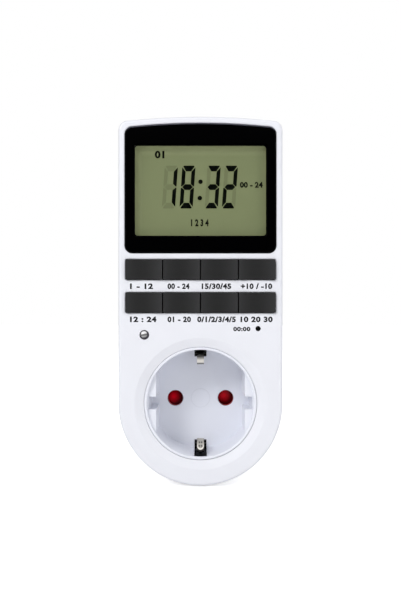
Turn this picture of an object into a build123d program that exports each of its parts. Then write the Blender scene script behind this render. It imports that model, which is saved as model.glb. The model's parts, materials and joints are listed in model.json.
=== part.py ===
from build123d import *
import os
from math import cos, radians, sin, sqrt

# Plug-in timer switch. Millimetres. Front faces -Y, plug pins point +Y, +Z is up.
# The origin is the centre of the plug's end face, on the axis of the socket.

# ---- socket and case, seen from the front ----
pin_spacing = 19.0          # between the two pin axes, of the plug and of the socket
recess_radius = 18.9        # round socket recess at its mouth
recess_depth = 17.5         # mouth to floor
recess_taper = 0.4          # draft of the recess wall, degrees
insert_wall = 1.0           # wall of the socket insert at its mouth
insert_clearance = 0.08     # between the insert and its hole in the front housing
dish_width = 3.2            # sloping ring round the insert
dish_depth = 1.2
dish_edge_radius = 1.0      # rounding where the dish meets the flat front
case_rim = 5.8              # flat front between the dish and the side of the case
crown_radius = 240.0        # slight arch of the case's top edge
corner_radius = 3.3         # top corners of the case
top_margin = 2.3            # case above the display window
side_margin = 2.2           # case beside the display window
front_edge_radius = 1.2
parting_bevel = 0.25        # bevel on both edges of the parting line
opening_bevel = 0.2         # bevel round the window pocket and the key openings
least_corner = 0.6          # corners of the case's inner walls are never sharper
rear_edge_radius = 1.5

# ---- keys and display, stacked upwards from the dish ----
lower_row_rise = 12.4       # dish edge to the centre of the lower row of keys
row_pitch = 11.6
key_height = 7.1
key_inset = 0.3             # key openings narrower than the window on each side
key_gap = 0.35              # between neighbouring keys
key_clearance = 0.12        # between a key and its opening
key_proud = 1.0             # key face in front of the case
key_travel = 0.8
key_corner = 0.4
opening_corner = 0.5        # corners of the key openings
key_edge_radius = 0.2
key_hollow = 0.4            # depth of the hollow in a key's face
key_columns = 4
key_to_window = 2.1
window_height = 45.9
window_corner = 2.8
window_thickness = 1.4
window_recess = 0.1         # window face below the case face
window_clearance = 0.06
window_bevel = 0.45
mask_thickness = 0.1        # black print behind the window
mask_side = 3.6             # black border beside the view
mask_top = 7.8
mask_bottom = 6.4
view_corner = 1.0
view_ledge = 0.8            # opening behind the mask wider than the view on each side

# ---- case depth ----
plug_boss_length = 18.5     # rear face of the case to the plug's end face
pin_length = 19.0
pin_end_space = 0.9         # from the tip of an inserted pin to the plane of the rear face
rear_depth = 14.0           # rear housing, from its rear face to the split
side_wall = 2.0
front_wall = 2.6
rear_wall = 2.2
lip_thickness = 1.0         # lip of the rear housing inside the front housing
lip_height = 1.5
lip_clearance = 0.1

# ---- plug boss ----
boss_clearance = 0.6        # boss to a recess like the one in front
boss_side_clearance = 0.45  # side flats to the recess's guides
boss_rib_clearance = 0.4    # guide ribs to the notches of the guides
boss_wall = 2.0
boss_end_wall = 3.0
boss_edge_radius = 0.8
cavity_corner = 3.0
pin_radius = 2.4
pin_root_radius = 2.75
pin_tip_radius = 1.5
pin_collar_radius = 4.0
pin_collar_thickness = 1.6
pin_shank_radius = 2.0
pin_fit = 0.03              # moulded-in parts to their holes
tail_length = 4.3           # solder tail of the live pin past its tube
tail_thickness = 1.0
live_tail_depth = 10.0      # back of that tail behind the plane of the rear face
blade_clearance = 0.3       # slot in the tube round the tail
strap_depth = 3.9           # middle of the earth strap behind the plane of the rear face
tube_wall = 1.2             # tubes that hold the pin collars and carry the contacts
earth_channel_width = 7.0
earth_channel_depth = 1.7
channel_overrun = 2.4       # channels of the earth strap past the middle of its cross bar
strap_slot = 0.9            # half the slot through the boss for that bar

# ---- socket insert ----
guide_inset = 3.15          # side guides in from the recess wall
guide_drop = 1.4            # top of the guides below the mouth
guide_edge_radius = 0.35
notch_inset = 0.5           # end of the notches in from the recess wall
notch_height = 4.6
floor_thickness = 3.0
hole_radius = 2.85
hole_chamfer = 0.3
centre_disc_radius = 3.5
centre_disc_height = 0.2
flange_reach = 1.3          # flange of the insert behind the front wall
flange_thickness = 1.5
skirt_wall = 2.0
mouth_radius = 0.3          # rounding of the insert's rim
slot_width = 4.4            # earth slots through the insert
slot_reach = 3.1            # earth slots inwards from the recess wall
slot_lip = 1.3              # rim left in front of the earth slots
slot_sink = 0.4             # slots into the wall inside the front housing; behind it they pass through

# ---- safety shutter ----
shutter_thickness = 2.4
shutter_gap = 0.2
shutter_hub_radius = 4.9
shutter_cover = 1.0         # arms reach this far past the pin holes
shutter_arm_cover = 0.85    # and past each side of them
shutter_ramp_drop = 1.6
shutter_ramp_start = 0.2    # ramps reach this far into the hub
shutter_ramp_overrun = 0.3
shutter_ramp_rest = 0.2     # share of the arm that stays flat
shutter_pivot_radius = 2.0
shutter_pivot_clearance = 0.08
retainer_gap = 0.3
retainer_thickness = 1.5
retainer_clearance = 0.1
retainer_hole_radius = 3.3
retainer_slot_gap = 0.3     # slots of the retainer beside the earth bracket
retainer_post_orbit = 9.4
retainer_post_radius = 2.1
retainer_screw_length = 3.9
spring_strip = 0.25         # thickness of the spiral spring
spring_width = 1.0
spring_step = 0.3           # growth of the spiral in each half turn
spring_half_turns = 4
spring_pocket_depth = 1.4   # pocket for the spring in the shutter's hub

# ---- contacts and earth metal ----
strip_thickness = 0.8
contact_width = 6.0
contact_grip = 2.5          # half the gap between the leaves where they are closest
contact_spread = 3.1
contact_seat = 0.5          # contact base behind the plane of the rear face
contact_flare = 0.3         # mouth of the leaves wider than their base
contact_mouth_gap = 0.7     # leaves behind the end of the socket insert
contact_mouth_length = 2.2
contact_heel = 1.5
contact_room = 0.3          # pocket in the rear wall round a contact
contact_bends = [0.8, 6.0, 0.6]
tab_length = 3.5
tab_width = 4.0
tongue_width = 2.5
earth_width = 5.0
tongue_crest_inset = 5.6    # crest of an earth tongue in from the recess wall
tongue_tip_inset = 1.7
tongue_root_inset = 1.9
tongue_tip_depth = 2.6
tongue_crest_depth = 6.4
tongue_foot = 4.0           # lower bend of a tongue in front of the recess floor
tongue_lean = 0.5
bracket_gap = 1.6           # middle of the strip in front of the rear wall
bracket_bends = [2.5, 3.0, 3.0, 1.5, 1.2, 1.2]
well_shoulder = 9.0         # well of the earth bracket, from the axis
well_slope = 2.0
strap_bow = 0.7
strap_rest_gap = 0.1
strap_end_inset = 1.6       # ends of the strap below the plug's end face
strap_bends = [20.0, 1.0]
rivet_radius = 1.2
rivet_head_radius = 2.2
rivet_head_height = 0.8
rivet_clearance = 0.03
wire_radius = 0.9
wire_bend = 2.5
wire_offset = 1.0           # wires beside the axis of their pin
wire_tab_gap = 1.0          # end of the wire past the contact or the tube
wire_run = 5.0
wire_wall_gap = 2.0         # axis of the live wire from the wall of the boss
wire_solder = 3.5           # wires end this far past the power board's lower edge

# ---- small fixings ----
screw_shank_radius = 1.5
screw_head_radius = 2.5
screw_head_height = 2.0
screw_bite = 9.0            # thread length in the front housing
screw_fit = 0.04
screw_bevel = 0.4           # bevel of a head, as a share of its height
screw_cross = (1.1, 0.25)   # cross recess, as shares of the head's radius
screw_end_gap = 1.0         # hole past the end of the screw
counterbore_depth = 6.5
counterbore_clearance = 0.25
top_post_radius = 2.1
top_post_inset = 6.6        # from the side of the display window
top_post_drop = 2.7         # below the top of the display window
bottom_post_radius = 2.6
rear_post_radius = 3.6
post_clearance = 0.4
power_post_radius = 1.9
power_post_floor = 0.8      # wall left behind the holes of these posts
low_post_rise = 4.4         # lowest post of the logic board above its lower edge
small_shank_radius = 0.9
small_head_radius = 1.8
small_head_height = 1.3
small_post_radius = 1.5
small_screw_bite = 4.0
small_screw_gap = 0.2       # hole past the end of a small screw
power_screw_length = 4.6
small_hole_clearance = 0.1

# ---- boards ----
board_thickness = 1.6
board_clearance = 0.7       # board edge to the case wall
logic_board_gap = 5.9       # front wall to the logic board
power_board_gap = 3.0       # rear wall to the power board
board_above_flange = 1.1
board_below_window_top = 1.5
lower_board_step = 4.7      # power board starts above the logic board's lower edge

blob_radius = 6.0
blob_height = 1.4
blob_offset = (6.0, 22.0)   # right of the centre, and below the top of the display window
crystal_radius = 1.5
crystal_length = 8.0
crystal_offset = (-15.0, 34.0)
cell_radius = 6.8
cell_height = 4.6
cell_lift = 0.6
cell_offset = (9.0, 4.0)    # right of the centre, and above the lower row of keys
cell_tab_width = 3.0
cell_tab_thickness = 0.4
ribbon_width = 10.0
ribbon_thickness = 0.6
ribbon_inset = 12.2         # from the left edge of the logic board
ribbon_rise = 5.0           # above the lower edge of the power board
ribbon_slack = 5.0
ribbon_bend = 2.5
ribbon_straight = 6.0

# ---- power board ----
power_board_margin = 1.5    # power board narrower than the logic board on each side
power_screw_inset = (4.2, 3.0)
relay_length = 19.0
relay_width = 15.2
relay_height = 15.6
relay_base_thickness = 1.2
relay_wall = 0.8
relay_inset = (3.7, 19.0)   # from the left and top edges of the power board
yoke_inset = 3.9
yoke_thickness = 1.2
core_lever = 7.6            # yoke to core
core_radius = 2.0
coil_radius = 5.2
coil_flange = 6.0
coil_flange_thickness = 0.8
coil_length = 9.0
core_end = 0.8
armature_gap = 0.8
armature_thickness = 1.0
armature_width = 9.0
armature_short = 3.5        # armature ends this far before the moving contact
leaf_thickness = 0.3
leaf_width = 4.0
contact_inset = 1.5         # moving contact from the end of the relay
contact_radius = 1.2
contact_height = 0.8
contact_gap = 1.1           # moving to fixed contact at rest
contact_rest_gap = 0.1      # leaf to its stop at rest
contact_post_inset = 1.6
contact_post_thickness = 0.5
contact_arm_width = 2.0
cover_clearance = 0.05
film_length = 18.0
film_width = 10.0
film_height = 15.0
film_corner = 0.6
film_gap = 3.7              # relay cover to the film capacitor
film_drop = 13.0            # its middle below the top edge of the power board
can_radius = 5.0
can_height = 16.0
can_groove = 0.4
can_groove_height = 2.5
can_gap = 4.6               # varistor to the electrolytic capacitor
can_drop = 26.5
disc_radius = 5.2
disc_thickness = 3.8
disc_gap = 1.8              # relay cover to the varistor
disc_drop = 27.5
disc_lift = 1.3
lead_width = 0.6
axial_lead = 0.7
axial_reach = 2.2
diode_size = (4.6, 1.3)     # length and radius
diode_pitch = (11.0, 4.5)
diode_inset = (10.2, 10.0)  # from the left and lower edges of the power board
resistor_size = (7.5, 1.6)
resistor_pitch = 5.5
resistor_inset = (12.7, 6.0)
fuse_size = (8.4, 1.9)
fuse_inset = (12.7, 21.0)
axial_lift = 0.5            # underside of the axial parts above the board

# ---- display ----
glass_thickness = 1.1
glass_margin = 1.5
glass_ledge = 1.8           # contact ledge below the rear glass
reflector_thickness = 0.3
reflector_inset = 0.5
display_gap = 0.3
frame_wall = 0.8
frame_shelf = 1.2
frame_rib = 1.2
frame_clearance = 0.1
zebra_width = 1.6

# ---- keypad ----
mat_thickness = 0.8
key_body_depth = 5.3        # key face to the step of its stem
stem_width = 8.4
stem_height = 4.0
stem_corner = 0.8           # of the stems and the pills
pill_width = 6.0
pill_height = 3.0
pill_thickness = 0.75
pill_gap = 0.05             # pill to board with the key down
web_thickness = 0.4
web_foot_width = 12.2
web_foot_height = 7.2
web_clearance = 0.05
web_foot_corner = 1.4
web_head_grow = 1.0         # head of a web wider than its stem
web_head_corner = 1.2
mat_reach = 3.95            # mat past the middle of each row of keys
mat_corner = 1.0
mat_ledge = 1.6             # chambers of the mat narrower than the webs' feet

# ---- indicator and reset ----
indicator_inset = 9.2       # from the side of the case
indicator_drop = 11.3       # below the lower row of keys
indicator_radius = 1.5
indicator_proud = 0.5
indicator_flange = 0.4
indicator_flange_thickness = 1.0
lens_hole_clearance = 0.2
lead_size = 0.5
lead_spacing = 2.54
reset_inset = 8.7
reset_drop = 9.1
reset_hole_radius = 0.93
reset_plunger_radius = 0.75
reset_recess = 0.5
reset_travel = 0.5
reset_flange = 0.8
reset_flange_thickness = 0.8
reset_switch_size = 5.4
reset_switch_height = 3.3
reset_foot_radius = 1.05
reset_foot_clearance = 0.1
reset_engagement = 0.7      # foot inside the switch at rest

# ---- derived places ----
pin_x = pin_spacing / 2
barrel_radius = recess_radius + insert_wall
guide_flat = recess_radius - guide_inset
notch_reach = recess_radius - notch_inset
slot_inner = recess_radius - slot_reach
tongue_crest = recess_radius - tongue_crest_inset
tongue_tip = recess_radius - tongue_tip_inset
tongue_root = recess_radius - tongue_root_inset
boss_radius = recess_radius - boss_clearance
boss_flat = guide_flat - boss_side_clearance
boss_rib_reach = notch_reach - boss_rib_clearance
boss_rib_height = notch_height - boss_rib_clearance
shutter_arm_reach = pin_x + hole_radius + shutter_cover
shutter_arm_width = 2 * (hole_radius + shutter_arm_cover)
dish_radius = barrel_radius + dish_width
case_half = dish_radius + case_rim
window_half = case_half - side_margin
lower_row_z = dish_radius + lower_row_rise
upper_row_z = lower_row_z + row_pitch
window_bottom = upper_row_z + key_height / 2 + key_to_window
window_top = window_bottom + window_height
case_top = window_top + top_margin
indicator_x = indicator_inset - case_half
indicator_z = lower_row_z - indicator_drop
reset_x = case_half - reset_inset
reset_z = lower_row_z - reset_drop

rear_y = -plug_boss_length
floor_y = rear_y - pin_length - pin_end_space
rim_y = floor_y - recess_depth
front_y = rim_y - dish_depth
split_y = rear_y - rear_depth
front_inner_y = front_y + front_wall
rear_inner_y = rear_y - rear_wall
floor_back_y = floor_y + floor_thickness
shutter_front_y = floor_back_y + shutter_gap
shutter_back_y = shutter_front_y + shutter_thickness
retainer_front_y = shutter_back_y + retainer_gap
insert_back_y = retainer_front_y + retainer_thickness
contact_seat_y = rear_y + contact_seat
logic_front_y = front_inner_y + logic_board_gap
logic_back_y = logic_front_y + board_thickness
power_back_y = rear_inner_y - power_board_gap
power_front_y = power_back_y - board_thickness

flange_radius = barrel_radius + flange_reach
skirt_radius = barrel_radius - skirt_wall
tube_bore = pin_collar_radius + pin_fit
tube_radius = tube_bore + tube_wall
cavity_half_x = boss_flat - boss_wall
channel_floor = boss_radius - earth_channel_depth
cavity_half_z = channel_floor - boss_wall
board_half = case_half - side_wall - board_clearance
logic_bottom = flange_radius + board_above_flange
logic_top = window_top - board_below_window_top
power_bottom = logic_bottom + lower_board_step

opening_half = window_half - key_inset
key_width = (2 * opening_half - 2 * key_clearance - (key_columns - 1) * key_gap) / key_columns
key_pitch = key_width + key_gap
key_front_y = front_y - key_proud
key_step_y = key_front_y + key_body_depth
key_back_y = logic_front_y - key_travel - pill_gap
mat_front_y = logic_front_y - mat_thickness

view_half = window_half - mask_side
view_bottom = window_bottom + mask_bottom
view_top = window_top - mask_top
glass_front_y = front_inner_y + display_gap
glass_back_y = glass_front_y + 2 * glass_thickness
glass_bottom = view_bottom - glass_margin - glass_ledge
glass_top = view_top + glass_margin
glass_half = view_half + glass_margin
frame_bottom = glass_bottom - frame_clearance - frame_wall
frame_top = glass_top + frame_clearance + frame_wall
frame_half = glass_half + frame_clearance + frame_wall
shelf_front_y = glass_back_y + reflector_thickness

top_post_z = window_top - top_post_drop
top_posts = [(side * (window_half - top_post_inset), top_post_z) for side in (-1, 1)]
post_orbit = flange_radius + post_clearance + bottom_post_radius
bottom_posts = [(post_orbit * cos(radians(a)), post_orbit * sin(radians(a))) for a in (-45, -135)]
screw_places = top_posts + bottom_posts
logic_post_z = frame_bottom - small_post_radius - post_clearance
logic_post_x = frame_half - small_head_radius
logic_posts = [(side * logic_post_x, logic_post_z) for side in (-1, 1)]
logic_posts += [(0, logic_bottom + low_post_rise)]
power_top = top_post_z - rear_post_radius - post_clearance
power_post_x = board_half - power_board_margin - power_screw_inset[0]
power_posts = [(side * power_post_x, power_top - power_screw_inset[1]) for side in (-1, 1)]
power_posts += [(0, power_bottom + power_screw_inset[1])]
support_angles = (35, 145, -145, -35)
support_orbit = barrel_radius - insert_wall
support_radius = 1.5

power_half = board_half - power_board_margin
relay_x = -power_half + relay_inset[0] + relay_length / 2
relay_z = power_top - relay_inset[1]
yoke_x = relay_x - relay_length / 2 + yoke_inset
core_x = yoke_x + core_lever
contact_x = relay_x + relay_length / 2 - contact_inset
relay_end_x = relay_x + relay_length / 2 + relay_wall
disc_x = relay_end_x + disc_gap + disc_thickness / 2
coil_y = power_front_y - relay_base_thickness
core_top_y = coil_y - coil_length - core_end
hinge_y = core_top_y - armature_gap
leaf_y = hinge_y - armature_thickness

strap_y = rear_y + strap_depth
live_tail_y = rear_y + live_tail_depth
wire_end_z = power_bottom + wire_solder
logic_screw_length = board_thickness + small_screw_bite - small_screw_gap


# ---- drawing helpers ----
def facing_front(y):
    """Plane across the case at y: local x is X, local y is Z, and it looks towards -Y."""
    return Plane((0, y, 0), x_dir=(1, 0, 0), z_dir=(0, -1, 0))


def slab(sketch, back_y, face_y, taper=0.0):
    """Front-view sketch given depth from back_y forwards to face_y."""
    return extrude(facing_front(back_y) * sketch, back_y - face_y, taper=taper)


def rod(radius, back_y, face_y, x=0.0, z=0.0):
    """Round bar along Y."""
    return slab(Pos(x, z) * Circle(radius), back_y, face_y)


def panel(x0, x1, z0, z1, corner=0.0):
    """Front-view rectangle by its edges, with rounded corners if asked."""
    centre = Pos((x0 + x1) / 2, (z0 + z1) / 2)
    if corner > 0:
        return centre * RectangleRounded(x1 - x0, z1 - z0, corner)
    return centre * Rectangle(x1 - x0, z1 - z0)


def block(x0, x1, z0, z1, back_y, face_y):
    """Rectangular block by its edges."""
    return slab(panel(x0, x1, z0, z1), back_y, face_y)


def turned(points, x=0.0, z=0.0):
    """Solid of revolution about an axis along Y: points are (radius, y), starting on the axis."""
    profile = make_face(Polyline(*points, close=True))
    return Pos(x, 0, z) * revolve(profile, Axis.Y, 360)


def strip(points, bend, width, plane, thickness=strip_thickness):
    """Sheet-metal strip bent along points on a plane, centred across its width."""
    path = FilletPolyline(*points, radius=bend)
    return extrude(plane * trace(path, thickness), width / 2, both=True)


def arched_outline(half, bottom, peak, arch, corner, foot_corner=0.0):
    """Face with straight sides and a slightly arched top; without foot corners it ends in a half round."""
    shoulder = peak - (arch - sqrt(arch**2 - half**2))
    with BuildSketch() as outline:
        with BuildLine():
            crown = ThreePointArc((half, shoulder), (0, peak), (-half, shoulder))
            if foot_corner > 0:
                Polyline(crown @ 1, (-half, bottom), (half, bottom), crown @ 0)
            else:
                foot = CenterArc((0, 0), half, 180, 180)
                Line(crown @ 1, foot @ 0)
                Line(foot @ 1, crown @ 0)
        make_face()
        fillet(outline.vertices().group_by(Axis.Y)[-1], corner)
        if foot_corner > 0:
            fillet(outline.vertices().group_by(Axis.Y)[0], foot_corner)
    return outline.sketch


def case_outline(inset=0.0):
    """Outline of the case, drawn in by inset."""
    corner = max(corner_radius - inset, least_corner)
    return arched_outline(case_half - inset, 0, case_top - inset, crown_radius - inset, corner)


def window_outline(inset=0.0):
    """Outline of the display window, arched like the case, drawn in by inset."""
    corner = window_corner - inset
    arch = crown_radius - top_margin - inset
    return arched_outline(
        window_half - inset, window_bottom + inset, window_top - inset, arch, corner, corner
    )


def opening_bar(row_z, inset=0.0):
    """Outline of the opening of one row of keys."""
    half_z = key_height / 2 + key_clearance - inset
    half_x = opening_half - inset
    return panel(-half_x, half_x, row_z - half_z, row_z + half_z, opening_corner)


def flared(inner, outer):
    """Cutter for the bevel at the front edge of an opening."""
    return loft([facing_front(front_y + opening_bevel) * inner, facing_front(front_y) * outer])


def boss_outline():
    """End view of the plug boss: a disc with side flats and a guide rib on each flat."""
    disc = Circle(boss_radius) & Rectangle(2 * boss_flat, 2 * boss_radius)
    return disc + Rectangle(2 * boss_rib_reach, boss_rib_height)


def edges_at(shape, y):
    """Edges of a shape that lie in the plane at y."""
    found = []
    for edge in shape.edges():
        box = edge.bounding_box()
        if abs(box.min.Y - y) + abs(box.max.Y - y) < 1e-3:
            found.append(edge)
    return found


def circles_at(shape, y, radius):
    """Round edges of the given radius in the plane at y."""
    rounds = [e for e in edges_at(shape, y) if e.geom_type == GeomType.CIRCLE]
    return [e for e in rounds if abs(e.radius - radius) < 1e-3]


def outer_loop(shape, y):
    """Outer edge of the shape's largest flat face at y."""
    flats = [f for f in shape.faces().filter_by(Axis.Y) if abs(f.center().Y - y) < 1e-3]
    return max(flats, key=lambda f: f.area).outer_wire().edges()


# ---- housings ----
def front_housing():
    shell = slab(case_outline(), split_y, front_y)
    shell = fillet(outer_loop(shell, front_y), front_edge_radius)
    shell = chamfer(outer_loop(shell, split_y), parting_bevel)
    shell -= slab(case_outline(side_wall), split_y, front_inner_y)
    rebate_inset = side_wall - lip_thickness - lip_clearance
    shell -= slab(case_outline(rebate_inset), split_y, split_y - lip_height - lip_clearance)

    posts = [(top_post_radius, split_y, place) for place in top_posts]
    posts += [(bottom_post_radius, split_y, place) for place in bottom_posts]
    posts += [(small_post_radius, logic_front_y, place) for place in logic_posts]
    for radius, back_y, (x, z) in posts:
        shell += rod(radius, back_y, front_inner_y, x, z)
    for x, z in screw_places:
        shell -= rod(screw_shank_radius + screw_fit, split_y, split_y - screw_bite - screw_end_gap, x, z)
    for x, z in logic_posts:
        shell -= rod(small_shank_radius + screw_fit, logic_front_y, logic_front_y - small_screw_bite, x, z)

    pocket_y = front_y + window_recess + window_thickness + mask_thickness
    shell -= slab(window_outline(), pocket_y, front_y)
    shell -= flared(window_outline(), window_outline(-opening_bevel))
    half = view_half + view_ledge
    view = panel(-half, half, view_bottom - view_ledge, view_top + view_ledge, view_corner)
    shell -= slab(view, front_inner_y, pocket_y)
    for row_z in (lower_row_z, upper_row_z):
        shell -= slab(opening_bar(row_z), front_inner_y, front_y)
        shell -= flared(opening_bar(row_z), opening_bar(row_z, -opening_bevel))
    shell -= turned([(0, front_y), (dish_radius, front_y), (barrel_radius, rim_y), (0, rim_y)])
    shell = fillet(circles_at(shell, front_y, dish_radius), dish_edge_radius)
    shell -= rod(barrel_radius + insert_clearance, front_inner_y, front_y)
    lens_hole = indicator_radius + lens_hole_clearance
    shell -= rod(lens_hole, front_inner_y, front_y, indicator_x, indicator_z)
    shell -= rod(reset_hole_radius, front_inner_y, front_y, reset_x, reset_z)
    return shell


def rear_housing():
    shell = slab(case_outline(), rear_y, split_y)
    shell = fillet(outer_loop(shell, rear_y), rear_edge_radius)
    shell = chamfer(outer_loop(shell, split_y), parting_bevel)
    shell -= slab(case_outline(side_wall), rear_inner_y, split_y)
    lip = slab(case_outline(side_wall - lip_thickness), split_y, split_y - lip_height)
    shell += lip - slab(case_outline(side_wall), split_y, split_y - lip_height)

    boss = slab(boss_outline(), 0, rear_y)
    shell += fillet(outer_loop(boss, 0), boss_edge_radius)
    cavity = panel(-cavity_half_x, cavity_half_x, -cavity_half_z, cavity_half_z, cavity_corner)
    shell -= slab(cavity, -boss_end_wall, rear_inner_y)
    reach = contact_spread + contact_flare + strip_thickness / 2 + contact_room
    tab_end = contact_width / 2 + tab_length + contact_room
    for side in (-1, 1):
        x = side * pin_x
        tube = (Pos(x, 0) * Circle(tube_radius)) & boss_outline()
        shell += slab(tube, -boss_end_wall, contact_seat_y)
        low_z = -contact_width / 2 - contact_room
        shell -= block(x - reach, x + reach, low_z, tab_end, contact_seat_y, rear_inner_y)
        shell -= rod(tube_bore, -boss_end_wall, contact_seat_y, x)
        shell -= rod(pin_root_radius + pin_fit, 0, -boss_end_wall, x)
        channel = panel(-earth_channel_width / 2, earth_channel_width / 2, channel_floor, boss_radius + 1)
        slot = panel(-earth_channel_width / 2, earth_channel_width / 2, cavity_half_z - 1, boss_radius)
        turn = Rot(0, 90 - 90 * side, 0)
        shell -= turn * slab(channel, 0, strap_y - channel_overrun)
        shell -= turn * slab(slot, strap_y + strap_slot, strap_y - strap_slot)
    half = tab_width / 2 + blade_clearance
    low_y = live_tail_y + blade_clearance
    shell -= block(pin_x - half, pin_x + half, 0, tube_radius + 1, low_y, contact_seat_y)

    for x, z in screw_places:
        shell += rod(rear_post_radius, rear_inner_y, split_y, x, z)
        shell -= rod(screw_shank_radius + counterbore_clearance, rear_y, split_y, x, z)
        shell -= rod(screw_head_radius + counterbore_clearance, rear_y, rear_y - counterbore_depth, x, z)
    for x, z in power_posts:
        shell += rod(power_post_radius, rear_inner_y, power_back_y, x, z)
        shell -= rod(small_shank_radius + screw_fit, rear_y - power_post_floor, power_back_y, x, z)
    for angle in support_angles:
        x = support_orbit * cos(radians(angle))
        z = support_orbit * sin(radians(angle))
        shell += rod(support_radius, rear_inner_y, insert_back_y, x, z)
    return shell


# ---- display ----
def display_window():
    plate = slab(
        window_outline(window_clearance),
        front_y + window_recess + window_thickness,
        front_y + window_recess,
    )
    return chamfer(outer_loop(plate, front_y + window_recess), window_bevel)


def display_mask():
    back_y = front_y + window_recess + window_thickness + mask_thickness
    sheet = slab(window_outline(window_clearance), back_y, back_y - mask_thickness)
    view = panel(-view_half, view_half, view_bottom, view_top, view_corner)
    return sheet - slab(view, back_y, back_y - mask_thickness)


def lcd_front_glass():
    back_y = glass_front_y + glass_thickness
    return block(-glass_half, glass_half, glass_bottom, glass_top, back_y, glass_front_y)


def lcd_rear_glass():
    bottom = glass_bottom + glass_ledge
    face_y = glass_back_y - glass_thickness
    return block(-glass_half, glass_half, bottom, glass_top, glass_back_y, face_y)


def lcd_reflector():
    half = glass_half - reflector_inset
    bottom = glass_bottom + glass_ledge + reflector_inset
    return block(-half, half, bottom, glass_top - reflector_inset, shelf_front_y, glass_back_y)


def lcd_frame():
    frame = block(-frame_half, frame_half, frame_bottom, frame_top, logic_front_y, glass_front_y)
    inner_half = frame_half - frame_wall
    bottom = frame_bottom + frame_wall
    top = frame_top - frame_wall
    frame -= block(-inner_half, inner_half, bottom, top, shelf_front_y, glass_front_y)
    frame -= block(-inner_half, inner_half, bottom, top, logic_front_y, shelf_front_y + frame_shelf)
    slot_top = glass_bottom + glass_ledge - frame_clearance
    frame -= block(-inner_half, inner_half, bottom, slot_top, logic_front_y, shelf_front_y)
    ribs_from = slot_top + zebra_width
    half = frame_rib / 2
    shelf_back_y = shelf_front_y + frame_shelf
    for x in (-glass_half / 2, glass_half / 2):
        frame += block(x - half, x + half, ribs_from, top + frame_wall / 2, logic_front_y, shelf_back_y)
    return frame


def zebra_connector():
    middle = glass_bottom + glass_ledge / 2
    return block(
        -glass_half + 2, glass_half - 2, middle - zebra_width / 2, middle + zebra_width / 2,
        logic_front_y, glass_front_y + glass_thickness,
    )


# ---- keys ----
def key(column, row_z):
    """One key: cap with a gently hollowed face, stem and the conductive pill at its end."""
    x = (column - (key_columns - 1) / 2) * key_pitch
    plan = Pos(x, row_z) * RectangleRounded(key_width, key_height, key_corner)
    cap = slab(plan, key_step_y, key_front_y)
    bowl = (key_width**2 / 4 + key_hollow**2) / (2 * key_hollow)
    cap -= Pos(x, key_front_y + key_hollow - bowl, row_z) * Cylinder(bowl, 2 * key_height)
    rim = [e for e in cap.edges() if e.center().Y < key_front_y + 2 * key_hollow]
    cap = fillet(rim, key_edge_radius)
    stem = RectangleRounded(stem_width, stem_height, stem_corner)
    cap += slab(Pos(x, row_z) * stem, key_back_y, key_step_y)
    pill_front_y = key_back_y - pill_thickness
    waist = slab(Pos(x, row_z) * Rectangle(stem_width, stem_height), key_back_y, pill_front_y)
    pill = RectangleRounded(pill_width, pill_height, stem_corner)
    waist -= slab(Pos(x, row_z) * pill, key_back_y, pill_front_y)
    return cap - waist


def key_places():
    return [(column, row_z) for row_z in (upper_row_z, lower_row_z) for column in range(key_columns)]


def keypad_webs():
    """Thin rubber cones that carry the keys and let them travel."""
    webs = []
    top_y = key_step_y + web_clearance
    for column, row_z in key_places():
        x = (column - (key_columns - 1) / 2) * key_pitch

        def cone(grow, y0, y1):
            foot = RectangleRounded(web_foot_width + grow, web_foot_height + grow, web_foot_corner)
            foot = Pos(x, row_z) * foot
            grow += web_head_grow
            head = RectangleRounded(stem_width + grow, stem_height + grow, web_head_corner)
            head = Pos(x, row_z) * head
            return loft([facing_front(y0) * foot, facing_front(y1) * head])

        web = cone(0, mat_front_y, top_y) - cone(-2 * web_thickness, mat_front_y, top_y)
        webs.append(web)
    return webs


def keypad_mat():
    low = lower_row_z - mat_reach
    high = upper_row_z + mat_reach
    mat = slab(panel(-board_half, board_half, low, high, mat_corner), logic_front_y, mat_front_y)
    for column, row_z in key_places():
        x = (column - (key_columns - 1) / 2) * key_pitch
        chamber = RectangleRounded(web_foot_width - mat_ledge, web_foot_height - mat_ledge, mat_corner)
        mat -= slab(Pos(x, row_z) * chamber, logic_front_y, mat_front_y)
    return mat


# ---- logic board ----
def logic_board():
    board = block(-board_half, board_half, logic_bottom, logic_top, logic_back_y, logic_front_y)
    for x, z in top_posts:
        side = 1 if x > 0 else -1
        x0, x1 = sorted((x - side * (top_post_radius + post_clearance), side * (board_half + 1)))
        low = z - top_post_radius - post_clearance
        board -= block(x0, x1, low, logic_top + 1, logic_back_y, logic_front_y)
    for x, z in logic_posts:
        board -= rod(small_shank_radius + small_hole_clearance, logic_back_y, logic_front_y, x, z)
    for x, z in lead_places():
        board -= rod(lead_size * 0.9, logic_back_y, logic_front_y, x, z)
    return board


def lead_places():
    return [(indicator_x + side * lead_spacing / 2, indicator_z) for side in (-1, 1)]


def side_plane(x):
    """Plane along the case at x: local x is Y and local y is Z."""
    return Plane((x, 0, 0), x_dir=(0, 1, 0), z_dir=(1, 0, 0))


def board_ribbon():
    """Flat cable between the boards, with a slack bend in the middle."""
    z = power_bottom + ribbon_rise
    path = [
        (logic_back_y, z),
        (logic_back_y + ribbon_straight, z),
        ((logic_back_y + power_front_y) / 2, z + ribbon_slack),
        (power_front_y - ribbon_straight, z),
        (power_front_y, z),
    ]
    return strip(path, ribbon_bend, ribbon_width, side_plane(ribbon_inset - board_half), ribbon_thickness)


def controller_blob():
    x, drop = blob_offset
    shoulder = blob_height * 0.65
    dome = [(0, 0), (blob_radius, 0), (blob_radius - shoulder, shoulder), (0, blob_height)]
    return turned([(r, logic_back_y + y) for r, y in dome], x, window_top - drop)


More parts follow.
